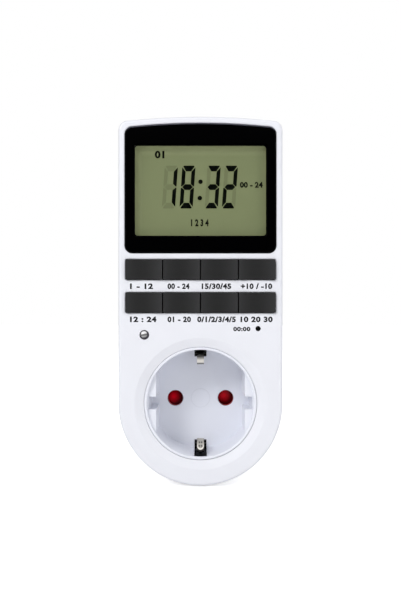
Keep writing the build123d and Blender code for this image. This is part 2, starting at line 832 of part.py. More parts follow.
def quartz_crystal():
    x, drop = crystal_offset
    can = Cylinder(crystal_radius, crystal_length)
    can = chamfer(can.edges().group_by(Axis.Z)[-1], crystal_radius / 3)
    return Pos(x, logic_back_y + crystal_radius, window_top - drop) * can


def backup_cell():
    """Round rechargeable cell on the back of the logic board, with its two solder tabs."""
    x, rise = cell_offset
    z = lower_row_z + rise
    top_y = logic_back_y + cell_lift + cell_height
    cell = rod(cell_radius, top_y, logic_back_y + cell_lift, x, z)
    cell = chamfer(edges_at(cell, top_y), cell_lift)
    reach = cell_radius + 2.0
    tab_y = top_y + cell_tab_thickness / 2
    tab = [(logic_back_y, z - reach), (tab_y, z - reach), (tab_y, z + cell_radius / 2)]
    tabs = strip(tab, cell_tab_thickness, cell_tab_width, side_plane(x), cell_tab_thickness)
    half = cell_tab_width / 2
    foot = block(x - half, x + half, z - half, z + half, logic_back_y + cell_lift, logic_back_y)
    return cell + tabs + foot


def indicator_led():
    tip_y = front_y - indicator_proud
    shoulder_y = tip_y + indicator_radius
    flange_y = front_inner_y + display_gap
    base_y = flange_y + indicator_flange_thickness
    outer = indicator_radius + indicator_flange
    with BuildSketch() as profile:
        with BuildLine():
            dome = CenterArc((0, shoulder_y), indicator_radius, -90, 90)
            flange = [(indicator_radius, flange_y), (outer, flange_y), (outer, base_y), (0, base_y)]
            Polyline(dome @ 1, *flange, dome @ 0)
        make_face()
    return Pos(indicator_x, 0, indicator_z) * revolve(profile.sketch, Axis.Y, 360)


def led_leads():
    base_y = front_inner_y + display_gap + indicator_flange_thickness
    half = lead_size / 2
    end_y = logic_back_y + half
    return [block(x - half, x + half, z - half, z + half, end_y, base_y) for x, z in lead_places()]


def reset_switch():
    half = reset_switch_size / 2
    top_y = logic_front_y - reset_switch_height
    body = block(reset_x - half, reset_x + half, reset_z - half, reset_z + half, logic_front_y, top_y)
    bottom_y = top_y + reset_engagement + reset_travel + reset_foot_clearance
    return body - rod(reset_foot_radius + reset_foot_clearance, bottom_y, top_y, reset_x, reset_z)


def reset_plunger():
    """Black pin that ends just inside its hole, with a stop flange and a foot in the switch."""
    tip_y = front_y + reset_recess
    flange_y = front_inner_y + reset_foot_clearance
    foot_y = flange_y + reset_flange_thickness
    end_y = logic_front_y - reset_switch_height + reset_engagement
    plunger = rod(reset_plunger_radius, flange_y, tip_y, reset_x, reset_z)
    plunger += rod(reset_plunger_radius + reset_flange, foot_y, flange_y, reset_x, reset_z)
    return plunger + rod(reset_foot_radius, end_y, foot_y, reset_x, reset_z)


# ---- parts on the power board ----
def power_board():
    board = block(-power_half, power_half, power_bottom, power_top, power_back_y, power_front_y)
    for x, z in power_posts:
        board -= rod(small_shank_radius + small_hole_clearance, power_back_y, power_front_y, x, z)
    return board


def relay_plan(grow=0.0):
    """Plan of the relay, drawn out by grow."""
    return Pos(relay_x, relay_z) * Rectangle(relay_length + 2 * grow, relay_width + 2 * grow)


def relay_base():
    return slab(relay_plan(), power_front_y, coil_y)


def relay_coil():
    """Bobbin with its winding, on the iron core."""
    end_y = coil_y - coil_length
    coil = rod(coil_flange, coil_y, coil_y - coil_flange_thickness, core_x, relay_z)
    coil += rod(coil_radius, coil_y, end_y, core_x, relay_z)
    coil += rod(coil_flange, end_y + coil_flange_thickness, end_y, core_x, relay_z)
    return coil + rod(core_radius, coil_y, core_top_y, core_x, relay_z)


def relay_yoke():
    yoke = Pos(yoke_x, relay_z) * Rectangle(yoke_thickness, armature_width)
    return slab(yoke, coil_y, hinge_y + contact_rest_gap)


def relay_armature():
    """Hinged iron plate with the moving contact on a leaf at its free end."""
    z0 = relay_z - armature_width / 2
    z1 = relay_z + armature_width / 2
    end_x = contact_x - armature_short
    plate = block(yoke_x - yoke_thickness / 2, end_x, z0, z1, hinge_y, leaf_y)
    z0 = relay_z - leaf_width / 2
    z1 = relay_z + leaf_width / 2
    plate += block(end_x - 2 * leaf_width, contact_x + 1, z0, z1, leaf_y, leaf_y - leaf_thickness)
    return plate + rod(contact_radius, leaf_y + contact_height, leaf_y, contact_x, relay_z)


def relay_contacts():
    """Fixed contact and rest stop on their posts, either side of the moving contact."""
    x0 = contact_x - contact_arm_width / 2
    x1 = contact_x + contact_arm_width / 2
    post = relay_width / 2 - contact_post_inset
    inner = post - contact_post_thickness
    open_y = leaf_y + contact_height + contact_gap
    arm = block(x0, x1, relay_z - contact_radius, relay_z + post, open_y + contact_post_thickness, open_y)
    arm += block(x0, x1, relay_z + inner, relay_z + post, coil_y, open_y)
    rest_y = leaf_y - leaf_thickness - contact_rest_gap
    stop = block(x0, x1, relay_z - post, relay_z + contact_radius, rest_y, rest_y - contact_post_thickness)
    stop += block(x0, x1, relay_z - post, relay_z - inner, coil_y, rest_y)
    return [arm, stop]


def relay_cover():
    top_y = power_front_y - relay_height
    cover = slab(relay_plan(relay_wall), power_front_y, top_y)
    return cover - slab(relay_plan(cover_clearance), power_front_y, top_y + relay_wall)


def film_capacitor():
    x = relay_end_x + film_gap + film_length / 2
    z = power_top - film_drop
    plan = Pos(x, z) * RectangleRounded(film_length, film_width, film_corner)
    return slab(plan, power_front_y, power_front_y - film_height)


def smoothing_capacitor():
    x = disc_x + disc_thickness / 2 + can_gap + can_radius
    z = power_top - can_drop
    waist = can_radius - can_groove
    groove_y = power_front_y - can_groove_height
    can = rod(can_radius, power_front_y, groove_y, x, z)
    can += rod(waist, groove_y, groove_y - 2 * can_groove, x, z)
    return can + rod(can_radius, groove_y - 2 * can_groove, power_front_y - can_height, x, z)


def varistor():
    x = disc_x
    z = power_top - disc_drop
    centre_y = power_front_y - disc_lift - disc_radius
    disc = Pos(x, centre_y, z) * Rot(0, 90, 0) * Cylinder(disc_radius, disc_thickness)
    half = lead_width / 2
    for side in (-1, 1):
        lead_z = z + side * disc_radius / 2
        disc += block(x - half, x + half, lead_z - half, lead_z + half, power_front_y, centre_y)
    return disc


def axial(x, z, size):
    """Axial component lying along X on its two bent leads, as one solid."""
    length, radius = size
    y = power_front_y - axial_lift - radius
    body = Pos(x, y, z) * Rot(0, 90, 0) * Cylinder(radius, length)
    reach = length / 2 + axial_reach
    path = [(x - reach, power_front_y), (x - reach, y), (x + reach, y), (x + reach, power_front_y)]
    plane = Plane((0, 0, z), x_dir=(1, 0, 0), z_dir=(0, 0, 1))
    return body + strip(path, axial_lead, axial_lead, plane, axial_lead)


def rectifier_diodes():
    x = -power_half + diode_inset[0]
    z = power_bottom + diode_inset[1]
    columns = (0, diode_pitch[0])
    rows = (0, diode_pitch[1])
    return [axial(x + across_by, z + up_by, diode_size) for up_by in rows for across_by in columns]


def resistors():
    x = power_half - resistor_inset[0]
    z = power_bottom + resistor_inset[1]
    return [axial(x, z + resistor_pitch * row, resistor_size) for row in range(3)]


def fuse():
    return axial(-power_half + fuse_inset[0], power_bottom + fuse_inset[1], fuse_size)


# ---- plug ----
def plug_pin(side, neutral):
    """Turned pin: rounded tip, root in the end wall, collar and shank; the neutral one ends in a rivet."""
    collar_y = -boss_end_wall - pin_collar_thickness
    x = side * pin_x
    pin = rod(pin_radius, pin_length, 0, x)
    pin = fillet(edges_at(pin, pin_length), pin_tip_radius)
    pin += rod(pin_root_radius, 0, -boss_end_wall, x)
    pin += rod(pin_collar_radius, -boss_end_wall, collar_y, x)
    if neutral:
        pin += rod(pin_shank_radius, collar_y, contact_seat_y, x)
        pin += rod(rivet_radius, contact_seat_y, contact_seat_y - strip_thickness, x)
        head_y = contact_seat_y - strip_thickness
        return pin + rod(rivet_head_radius, head_y, head_y - rivet_head_height / 2, x)
    tail_front_y = live_tail_y - tail_thickness
    pin += rod(pin_shank_radius, collar_y, tail_front_y, x)
    half = tab_width / 2
    return pin + block(x - half, x + half, 0, tube_radius + tail_length, live_tail_y, tail_front_y)


def contact(side, riveted):
    """Folded spring contact: two leaves that grip a pin, on a base that seats on its tube."""
    front_y = contact_seat_y - strip_thickness
    base_y = contact_seat_y - strip_thickness / 2
    mouth_y = insert_back_y + contact_mouth_gap
    neck = contact_grip + strip_thickness / 2
    leaf = [
        (-contact_spread - contact_flare, mouth_y),
        (-neck, mouth_y + contact_mouth_length),
        (-contact_spread, base_y - contact_heel),
        (-contact_spread, base_y),
    ]
    path = leaf + [(-x, y) for x, y in reversed(leaf)]
    body = strip(path, contact_bends + contact_bends[::-1], contact_width, Plane.XY)
    tab_end = contact_width / 2 + tab_length
    body += block(-tab_width / 2, tab_width / 2, 0, tab_end, contact_seat_y, front_y)
    body = Pos(side * pin_x, 0, 0) * body
    if riveted:
        body -= rod(rivet_radius + rivet_clearance, contact_seat_y, front_y, side * pin_x)
    return body


def earth_bracket():
    """One bent strip: a spring tongue at the top and bottom of the recess and a well between them."""
    bar_y = rear_inner_y - bracket_gap
    half = [
        (rim_y + tongue_tip_depth, tongue_tip),
        (rim_y + tongue_crest_depth, tongue_crest),
        (floor_y - tongue_foot, tongue_root - tongue_lean),
        (floor_back_y, tongue_root),
        (bar_y, tongue_root),
        (bar_y, well_shoulder),
        (strap_y - strip_thickness, well_shoulder - well_slope),
    ]
    path = half + [(y, -z) for y, z in reversed(half)]
    narrow = strip(path, bracket_bends + bracket_bends[::-1], tongue_width, side_plane(0))
    wide_path = half[3:] + [(y, -z) for y, z in reversed(half[3:])]
    bends = bracket_bends[3:]
    bracket = narrow + strip(wide_path, bends + bends[::-1], earth_width, side_plane(0))
    return bracket - rod(rivet_radius + rivet_clearance, strap_y, rear_y)


def plug_earth_strap():
    """U-shaped strip whose two bowed arms lie in the channels of the plug boss."""
    rest = channel_floor + strap_rest_gap + strip_thickness / 2
    half = [(-strap_end_inset, rest), (strap_y / 2, rest + strap_bow), (strap_y, rest)]
    path = half + [(y, -z) for y, z in reversed(half)]
    strap = strip(path, strap_bends + strap_bends[::-1], earth_width, side_plane(0))
    return strap - rod(rivet_radius + rivet_clearance, strap_y + strip_thickness, strap_y - strip_thickness)


def earth_rivet():
    top_y = strap_y + strip_thickness / 2
    low_y = strap_y - 1.5 * strip_thickness
    rivet = rod(rivet_radius, top_y, low_y)
    rivet += rod(rivet_head_radius, top_y + rivet_head_height, top_y)
    return rivet + rod(rivet_head_radius, low_y, low_y - rivet_head_height)


def wire(points):
    """Insulated wire along straight runs joined by arcs."""
    path = FilletPolyline(*points, radius=wire_bend)
    start = Plane(origin=path @ 0, z_dir=path % 0)
    return sweep(start * Circle(wire_radius), path=path)


def contact_wire(side):
    """Wire from a contact's solder tab to the back of the power board."""
    x = side * (pin_x - wire_offset)
    tab_y = contact_seat_y - strip_thickness - wire_radius
    board_y = power_back_y + wire_radius
    z0 = contact_width / 2 + wire_tab_gap
    z1 = z0 + wire_run
    return wire([(x, tab_y, z0), (x, tab_y, z1), (x, board_y, z1 + wire_run), (x, board_y, wire_end_z)])


def wire_live_in():
    x = pin_x + wire_offset
    tail_y = live_tail_y - tail_thickness - wire_radius
    board_y = power_back_y + wire_radius
    z0 = tube_radius + wire_tab_gap
    z1 = cavity_half_z - wire_wall_gap
    return wire([(x, tail_y, z0), (x, tail_y, z1), (x, board_y, z1), (x, board_y, wire_end_z)])


# ---- socket ----
def recess_outline():
    """Recess below its mouth: a disc with side guides that are notched at their middle."""
    disc = Circle(recess_radius) & Rectangle(2 * guide_flat, 2 * recess_radius)
    return disc + Rectangle(2 * notch_reach, notch_height)


def socket_insert():
    body = rod(barrel_radius, insert_back_y, rim_y)
    body = fillet(edges_at(body, rim_y), mouth_radius)
    body += rod(flange_radius, front_inner_y + flange_thickness, front_inner_y)
    body -= rod(recess_radius, rim_y + guide_drop, rim_y)
    well = extrude(facing_front(rim_y) * recess_outline(), -recess_depth, taper=recess_taper)
    body -= well
    body = fillet(circles_at(body, rim_y, recess_radius), mouth_radius)
    body -= rod(skirt_radius, insert_back_y, floor_back_y)
    body += rod(shutter_pivot_radius, retainer_front_y, floor_back_y)
    for z in (-retainer_post_orbit, retainer_post_orbit):
        body += rod(retainer_post_radius, retainer_front_y, floor_back_y, 0, z)
        body -= rod(small_shank_radius + screw_fit, retainer_front_y, floor_back_y + 0.1, 0, z)
    body += rod(centre_disc_radius, floor_y, floor_y - centre_disc_height)
    for side in (-1, 1):
        x = side * pin_x
        body -= rod(hole_radius, floor_back_y, floor_y - 1, x)
        mouth = [(0, floor_y), (hole_radius + hole_chamfer, floor_y), (hole_radius, floor_y + hole_chamfer),
                 (0, floor_y + hole_chamfer)]
        body -= turned(mouth, x)
        half = slot_width / 2
        z0, z1 = sorted((side * slot_inner, side * (recess_radius + slot_sink)))
        body -= block(-half, half, z0, z1, floor_back_y, rim_y + slot_lip)
        z0, z1 = sorted((side * recess_radius, side * (flange_radius + 1)))
        body -= block(-half, half, z0, z1, floor_back_y, front_inner_y)
    return body


def safety_shutter():
    """Rotor with two ramped arms that cover the pin holes."""
    arms = Rectangle(2 * shutter_arm_reach, shutter_arm_width) & Circle(shutter_arm_reach)
    rotor = slab(arms + Circle(shutter_hub_radius), shutter_back_y, shutter_front_y)
    slope = shutter_arm_width / shutter_ramp_drop
    half = shutter_arm_width / 2 + shutter_ramp_overrun
    low_y = shutter_front_y + shutter_ramp_drop
    crest = half - slope * shutter_ramp_rest
    over_y = shutter_front_y - 1
    corners = [(over_y, -half), (low_y, -half), (shutter_front_y, crest), (over_y, crest)]
    ramp = make_face(Polyline(*corners, close=True))
    wedge = extrude(side_plane(shutter_hub_radius - shutter_ramp_start) * ramp, shutter_arm_reach)
    for side in (-1, 1):
        rotor -= Rot(0, 90 - 90 * side, 0) * wedge
    rotor -= rod(shutter_pivot_radius + shutter_pivot_clearance, shutter_back_y, shutter_front_y)
    pocket = shutter_pivot_radius + (spring_half_turns + 2) * spring_step + spring_strip
    return rotor - rod(pocket, shutter_back_y, shutter_back_y - spring_pocket_depth)


def shutter_spring():
    """Flat spiral spring round the pivot, in the pocket of the shutter's hub."""
    inner = shutter_pivot_radius + shutter_pivot_clearance + spring_strip
    with BuildLine() as spiral:
        for turn in range(spring_half_turns):
            radius = inner + (turn + 0.5) * spring_step
            side = 1 if turn % 2 == 0 else -1
            CenterArc((side * spring_step / 2, 0), radius, 180 * (turn % 2), 180)
    back_y = shutter_back_y + retainer_gap / 2
    return slab(trace(spiral.line, spring_strip), back_y, back_y - spring_width)


def shutter_retainer():
    disc = rod(skirt_radius - retainer_clearance, insert_back_y, retainer_front_y)
    for side in (-1, 1):
        disc -= rod(retainer_hole_radius, insert_back_y, retainer_front_y, side * pin_x)
        z = side * retainer_post_orbit
        disc -= rod(small_shank_radius + small_hole_clearance, insert_back_y, retainer_front_y, 0, z)
        z0, z1 = sorted((side * (tongue_root - strip_thickness), side * (skirt_radius + 1)))
        half = earth_width / 2 + retainer_slot_gap
        disc -= block(-half, half, z0, z1, insert_back_y, retainer_front_y)
    return disc


# ---- screws ----
def screw(x, z, head_y, shank_radius, head_radius, head_height, length):
    """Pan-head screw driven towards the front, with a cross recess in its head."""
    body = rod(shank_radius, head_y, head_y - length, x, z)
    head = rod(head_radius, head_y + head_height, head_y, x, z)
    head = chamfer(edges_at(head, head_y + head_height), head_height * screw_bevel)
    bar = Rectangle(head_radius * screw_cross[0], head_radius * screw_cross[1])
    cross = Pos(x, z) * (bar + Rot(0, 0, 90) * bar)
    return body + head - slab(cross, head_y + head_height, head_y + head_height / 2)


def housing_screws():
    head_y = rear_y - counterbore_depth
    length = head_y - split_y + screw_bite
    return [screw(x, z, head_y, screw_shank_radius, screw_head_radius, screw_head_height, length)
            for x, z in screw_places]


def small_screws(places, head_y, length):
    return [screw(x, z, head_y, small_shank_radius, small_head_radius, small_head_height, length)
            for x, z in places]


def power_board_screws():
    """The power board is driven from its front, so these point towards the rear."""
    flipped = small_screws([(x, -z) for x, z in power_posts], -power_front_y, power_screw_length)
    return [Rot(180, 0, 0) * each for each in flipped]


key_names = [
    "key_week", "key_hour", "key_minute", "key_recall",
    "key_clock", "key_timer", "key_override", "key_random",
]

nodes = {
    "front_housing": front_housing(),
    "rear_housing": rear_housing(),
    "socket_insert": socket_insert(),
    "display_window": display_window(),
    "display_mask": display_mask(),
    "lcd_front_glass": lcd_front_glass(),
    "lcd_rear_glass": lcd_rear_glass(),
    "lcd_reflector": lcd_reflector(),
    "lcd_frame": lcd_frame(),
    "zebra_connector": zebra_connector(),
    "keypad_mat": keypad_mat(),
    "keypad_webs": keypad_webs(),
    "indicator_led": indicator_led(),
    "led_leads": led_leads(),
    "reset_switch": reset_switch(),
    "reset_plunger": reset_plunger(),
    "logic_board": logic_board(),
    "controller_blob": controller_blob(),
    "quartz_crystal": quartz_crystal(),
    "backup_cell": backup_cell(),
    "board_ribbon": board_ribbon(),
    "logic_board_screws": small_screws(logic_posts, logic_back_y, logic_screw_length),
    "power_board": power_board(),
    "relay_base": relay_base(),
    "relay_coil": relay_coil(),
    "relay_yoke": relay_yoke(),
    "relay_armature": relay_armature(),
    "relay_contacts": relay_contacts(),
    "relay_cover": relay_cover(),
    "film_capacitor": film_capacitor(),
    "smoothing_capacitor": smoothing_capacitor(),
    "varistor": varistor(),
    "rectifier_diodes": rectifier_diodes(),
    "resistors": resistors(),
    "fuse": fuse(),
    "power_board_screws": power_board_screws(),
    "safety_shutter": safety_shutter(),
    "shutter_spring": shutter_spring(),
    "shutter_retainer": shutter_retainer(),
    "retainer_screws": small_screws(
        [(0, -retainer_post_orbit), (0, retainer_post_orbit)], insert_back_y, retainer_screw_length
    ),
    "live_contact": contact(1, False),
    "neutral_contact": contact(-1, True),
    "earth_bracket": earth_bracket(),
    "earth_rivet": earth_rivet(),
    "plug_pin_live": plug_pin(1, False),
    "plug_pin_neutral": plug_pin(-1, True),
    "plug_earth_strap": plug_earth_strap(),
    "wire_live_in": wire_live_in(),
    "wire_live_out": contact_wire(1),
    "wire_neutral": contact_wire(-1),
    "housing_screws": housing_screws(),
}
for name, (column, row_z) in zip(key_names, key_places()):
    nodes[name] = key(column, row_z)

os.makedirs("parts", exist_ok=True)
for name, shape in nodes.items():
    if isinstance(shape, list):
        shape = Compound(children=shape)
    export_step(shape, f"parts/{name}.step")
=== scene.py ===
import json
import math

import bmesh
import bpy
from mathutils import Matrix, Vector


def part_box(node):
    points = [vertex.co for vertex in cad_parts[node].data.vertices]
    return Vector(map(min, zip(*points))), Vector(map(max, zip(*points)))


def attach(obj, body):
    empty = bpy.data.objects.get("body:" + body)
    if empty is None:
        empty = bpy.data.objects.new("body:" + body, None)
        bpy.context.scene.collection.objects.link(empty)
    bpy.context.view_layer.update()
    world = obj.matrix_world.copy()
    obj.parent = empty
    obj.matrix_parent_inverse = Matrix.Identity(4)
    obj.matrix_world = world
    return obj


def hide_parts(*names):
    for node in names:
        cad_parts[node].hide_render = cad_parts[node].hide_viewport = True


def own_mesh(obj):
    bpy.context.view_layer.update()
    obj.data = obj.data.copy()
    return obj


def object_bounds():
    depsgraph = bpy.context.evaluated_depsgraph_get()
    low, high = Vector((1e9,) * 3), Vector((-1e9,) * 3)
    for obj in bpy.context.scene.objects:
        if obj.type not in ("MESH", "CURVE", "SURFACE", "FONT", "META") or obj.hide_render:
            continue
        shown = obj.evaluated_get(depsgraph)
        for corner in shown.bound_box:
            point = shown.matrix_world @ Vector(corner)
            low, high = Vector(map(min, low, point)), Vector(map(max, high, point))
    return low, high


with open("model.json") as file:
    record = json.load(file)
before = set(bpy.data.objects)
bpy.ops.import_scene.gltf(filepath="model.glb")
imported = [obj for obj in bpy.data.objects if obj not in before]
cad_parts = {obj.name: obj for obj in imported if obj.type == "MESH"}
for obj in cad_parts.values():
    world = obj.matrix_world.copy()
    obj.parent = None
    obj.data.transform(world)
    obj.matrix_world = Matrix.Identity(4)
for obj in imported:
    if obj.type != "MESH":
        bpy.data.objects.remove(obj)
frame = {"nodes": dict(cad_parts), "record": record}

scene = bpy.context.scene
scene.view_settings.view_transform = "Standard"
nodes = frame["nodes"]
cad_low, cad_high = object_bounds()

# ---- places taken from the frame: led_low, led_high and face_y in metres, the rest in millimetres ----
MM = 0.001
led_low, led_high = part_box("indicator_led")
face_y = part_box("front_housing")[0].y
face_mm = face_y / MM
glass_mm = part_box("lcd_front_glass")[0].y / MM
bracket_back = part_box("earth_bracket")[1].y / MM

# ---- camera and picture; lengths are millimetres from here on where no comment says otherwise ----
CAMERA_GAP = 232.0           # from the camera to the case's front face
CAMERA_HEIGHT = 28.6
CAMERA_LENS = 39.65
CAMERA_SENSOR = 36.0
CAMERA_SHIFT = 0.0363        # upward, as a share of the sensor
PIXEL = 0.3506               # what one pixel of the 401 by 601 picture covers on the front face
MIDDLE_COLUMN = 200.5
MIDDLE_ROW = 300.5
MIDDLE_ROW_Z = 36.25         # the height on the front face that the middle row shows
HORIZON_ROW = 322.3          # the row that shows the camera's own height, at any depth

# ---- keys ----
KEY_PITCH = 13.2275
ROW_PITCH = 11.6

# ---- socket ----
PIN_X = 9.5
HOLE_RADIUS = 2.85
DISC_RADIUS = 3.5            # of the raised disc in the middle of the recess
POCKET_HALF = 2.25           # half width of the pockets that the earth tongues stand in
POCKET_INNER = 15.7          # from the middle of the recess to a pocket
POCKET_FRONT = -54.4
TONGUE_BACK = bracket_back + 0.5    # just behind the bracket that both earth tongues belong to

# ---- plug boss: the walls that close the corners of its hollow ----
BOSS_RADIUS = 18.28
BOSS_WALL = 0.8
BOSS_CORNER = 48.4           # degrees from the level to a corner
BOSS_CORNER_HALF = 8.5       # degrees to each side of it
BOSS_SPAN = (-18.4, -3.05)   # along Y, behind the case
ROOT_SPAN = (-20.2, -18.52)  # along Y, inside the case's rear wall
ROOT_SPREAD = 0.4            # how much further out the wall reaches there

# ---- display ----
VIEW_HALF = 23.1             # half width of the view through the window
VIEW_LOW = 59.15
VIEW_HIGH = 90.85
SCREEN_FILM = 0.01           # thickness of what is drawn on the glass
SCREEN_FRONT = glass_mm - 0.012
SCREEN_PIXEL = PIXEL * (CAMERA_GAP + SCREEN_FRONT - face_mm) / CAMERA_GAP

# ---- light ----
ROOM_LIGHT = 0.70
ROOM_DARK = 0.0
FLOOR_GLOW = 0.6
FLOOR_GAP = 0.4              # below the lowest point of the part
FLOOR_REACH = 12.0           # metres

NOISE_RANGE = (0.3, 0.7)     # most values of a noise lie between these


def shade(colour, factor):
    """Colour made darker or lighter by a factor."""
    return tuple(c * factor for c in colour)


def srgb(red, green, blue):
    """Colour written as it shows on a screen, 0 to 255."""
    def linear(level):
        share = level / 255
        return share / 12.92 if share <= 0.04045 else ((share + 0.055) / 1.055) ** 2.4
    return linear(red), linear(green), linear(blue)


WHITE = srgb(238, 239, 245)
INSERT = srgb(238, 240, 248)
SCREEN = srgb(130, 138, 100)
# the display's paler border, partly its own look and partly painted light
SCREEN_EDGE = srgb(150, 155, 112)
# painted light that offsets the shade cast by the window's border
SCREEN_PAINTED_LIGHT = srgb(186, 194, 146)


# ---- node helpers ----
class Graph:
    """A node tree with short ways to add and join nodes."""

    def __init__(self, tree):
        self.tree = tree

    def add(self, kind, **values):
        """New node. Each value goes to its setting of that name, or else to its input."""
        node = self.tree.nodes.new(kind)
        for key, value in values.items():
            if hasattr(node, key):
                setattr(node, key, value)
            else:
                node.inputs[key.replace("_", " ")].default_value = value
        return node

    def join(self, source, target):
        """Links an output to an input, or sets a number or a colour on it."""
        if isinstance(source, bpy.types.NodeSocket):
            self.tree.links.new(source, target)
        elif isinstance(source, tuple):
            target.default_value = (*source, 1.0)
        else:
            target.default_value = source

    def split(self, vector):
        """The X, Y and Z of a vector."""
        node = self.add("ShaderNodeSeparateXYZ")
        self.join(vector, node.inputs[0])
        return node.outputs

    def ramp(self, value, low, high, to_low=0.0, to_high=1.0, curve="LINEAR"):
        """Value carried over from the range low to high to another range, and held at its ends."""
        node = self.add("ShaderNodeMapRange", interpolation_type=curve)
        limits = {"From Min": low, "From Max": high, "To Min": to_low, "To Max": to_high}
        for name, limit in limits.items():
            node.inputs[name].default_value = limit
        self.join(value, node.inputs["Value"])
        return node.outputs["Result"]

    def spread(self, noise, to_low=0.0, to_high=1.0):
        """Noise stretched to a whole range."""
        return self.ramp(noise, *NOISE_RANGE, to_low, to_high)

    def maths(self, operation, a, b=None):
        """Result of an operation on one or two values."""
        node = self.add("ShaderNodeMath", operation=operation)
        self.join(a, node.inputs[0])
        if b is not None:
            self.join(b, node.inputs[1])
        return node.outputs[0]

    def off(self, value, middle):
        """How far a value is from a middle, either way."""
        return self.maths("ABSOLUTE", self.maths("SUBTRACT", value, middle))

    def distance(self, across, up):
        """Length of an offset in a front view."""
        squares = self.maths("ADD", self.maths("POWER", across, 2.0), self.maths("POWER", up, 2.0))
        return self.maths("SQRT", squares)

    def blend(self, share, first, second, kind="MIX"):
        """Colour that goes from the first to the second, or to its product, as the share goes from 0 to 1."""
        node = self.add("ShaderNodeMix", data_type="RGBA", blend_type=kind)
        self.join(share, node.inputs["Factor"])
        self.join(first, node.inputs["A"])
        self.join(second, node.inputs["B"])
        return node.outputs["Result"]

    def stops(self, value, low, high, marks):
        """Grey along a value from low to high. Marks are (share of the way, brightness)."""
        node = self.add("ShaderNodeValToRGB")
        places = node.color_ramp.elements
        for place, (share, bright) in ((places[0], marks[0]), (places[1], marks[-1])):
            place.position = share
            place.color = (bright, bright, bright, 1)
        for share, bright in marks[1:-1]:
            places.new(share).color = (bright, bright, bright, 1)
        self.join(self.ramp(value, low, high), node.inputs["Fac"])
        return node.outputs["Color"]


class Paint(Graph):
    """A new material's node tree, with the object's coordinates in millimetres."""

    def __init__(self, name):
        self.material = bpy.data.materials.new(name)
        self.material.use_nodes = True
        super().__init__(self.material.node_tree)
        self.shader = self.tree.nodes["Principled BSDF"]
        coordinates = self.add("ShaderNodeTexCoord")
        scale = self.add("ShaderNodeVectorMath", operation="SCALE")
        scale.inputs["Scale"].default_value = 1 / MM
        self.join(coordinates.outputs["Object"], scale.inputs[0])
        self.normal = coordinates.outputs["Normal"]
        self.place = scale.outputs[0]
        self.x, self.y, self.z = self.split(self.place)

    def noise(self, size, detail=3.0, roughness=0.5, stretch=None):
        """Noise whose features are about size across."""
        node = self.add("ShaderNodeTexNoise", Scale=1.0 / size, Detail=detail, Roughness=roughness)
        source = self.place
        if stretch:
            mapping = self.add("ShaderNodeMapping")
            mapping.inputs["Scale"].default_value = stretch
            self.join(source, mapping.inputs["Vector"])
            source = mapping.outputs[0]
        self.join(source, node.inputs["Vector"])
        return node.outputs["Fac"]

    def pattern(self, kind, **values):
        """Another texture, laid over the object's coordinates."""
        node = self.add(kind, **values)
        self.join(self.place, node.inputs["Vector"])
        return node.outputs["Fac"]

    def set(self, **inputs):
        """Links or sets inputs of the shader."""
        for key, source in inputs.items():
            self.join(source, self.shader.inputs[key.replace("_", " ")])

    def bump(self, height, depth):
        """Relief whose heights from 0 to 1 stand for a depth."""
        node = self.add("ShaderNodeBump", Strength=1.0, Distance=depth * MM)
        self.join(height, node.inputs["Height"])
        self.join(node.outputs["Normal"], self.shader.inputs["Normal"])


# ---- plastics and rubber ----
def moulded(name, colour, rough, grain_size=0.22, grain_depth=0.004, mottle=0.012, specular=0.5, marks=None):
    """Moulded plastic: faint flow mottling, spark-eroded grain and uneven gloss. Marks, where given, paint
    light and shade into its colour.
    """
    paint = Paint(name)
    flow = paint.spread(paint.noise(14.0, 4.0))
    mottled = paint.blend(flow, shade(colour, 1 - mottle), shade(colour, 1 + mottle))
    grain = paint.noise(grain_size, 2.0, 0.6)
    gloss = paint.spread(paint.noise(3.0), rough - 0.03, rough + 0.03)
    wave = paint.ramp(paint.noise(22.0, 1.0), 0.0, 1.0, 0.0, 0.6)
    paint.set(Base_Color=marks(paint, mottled) if marks else mottled)
    paint.set(Roughness=paint.maths("ADD", gloss, paint.spread(grain, -0.02, 0.02)))
    paint.set(IOR=1.5, Specular_IOR_Level=specular)
    paint.bump(paint.maths("ADD", grain, wave), grain_depth)
    return paint.material


def edge_painted_shade(paint, base):
    """The case's colour, painted deeper as shade on the upper and left stretches of the rounded edge round
    its front.
    """
    edge_depth = 1.6
    fade = 0.6
    across, along, up = paint.split(paint.normal)
    turned = paint.ramp(along, -0.95, -0.45)
    up_left = paint.ramp(paint.maths("SUBTRACT", up, across), 0.1, 0.6)
    near_front = paint.ramp(paint.y, face_mm + edge_depth + fade, face_mm + edge_depth)
    # painted shade: how far the rounded edge is darkened where it turns up or to the left
    amount = paint.maths("MULTIPLY", paint.maths("MULTIPLY", turned, up_left), near_front)
    return paint.blend(paint.maths("POWER", amount, 1.4), base, shade(WHITE, 0.66))


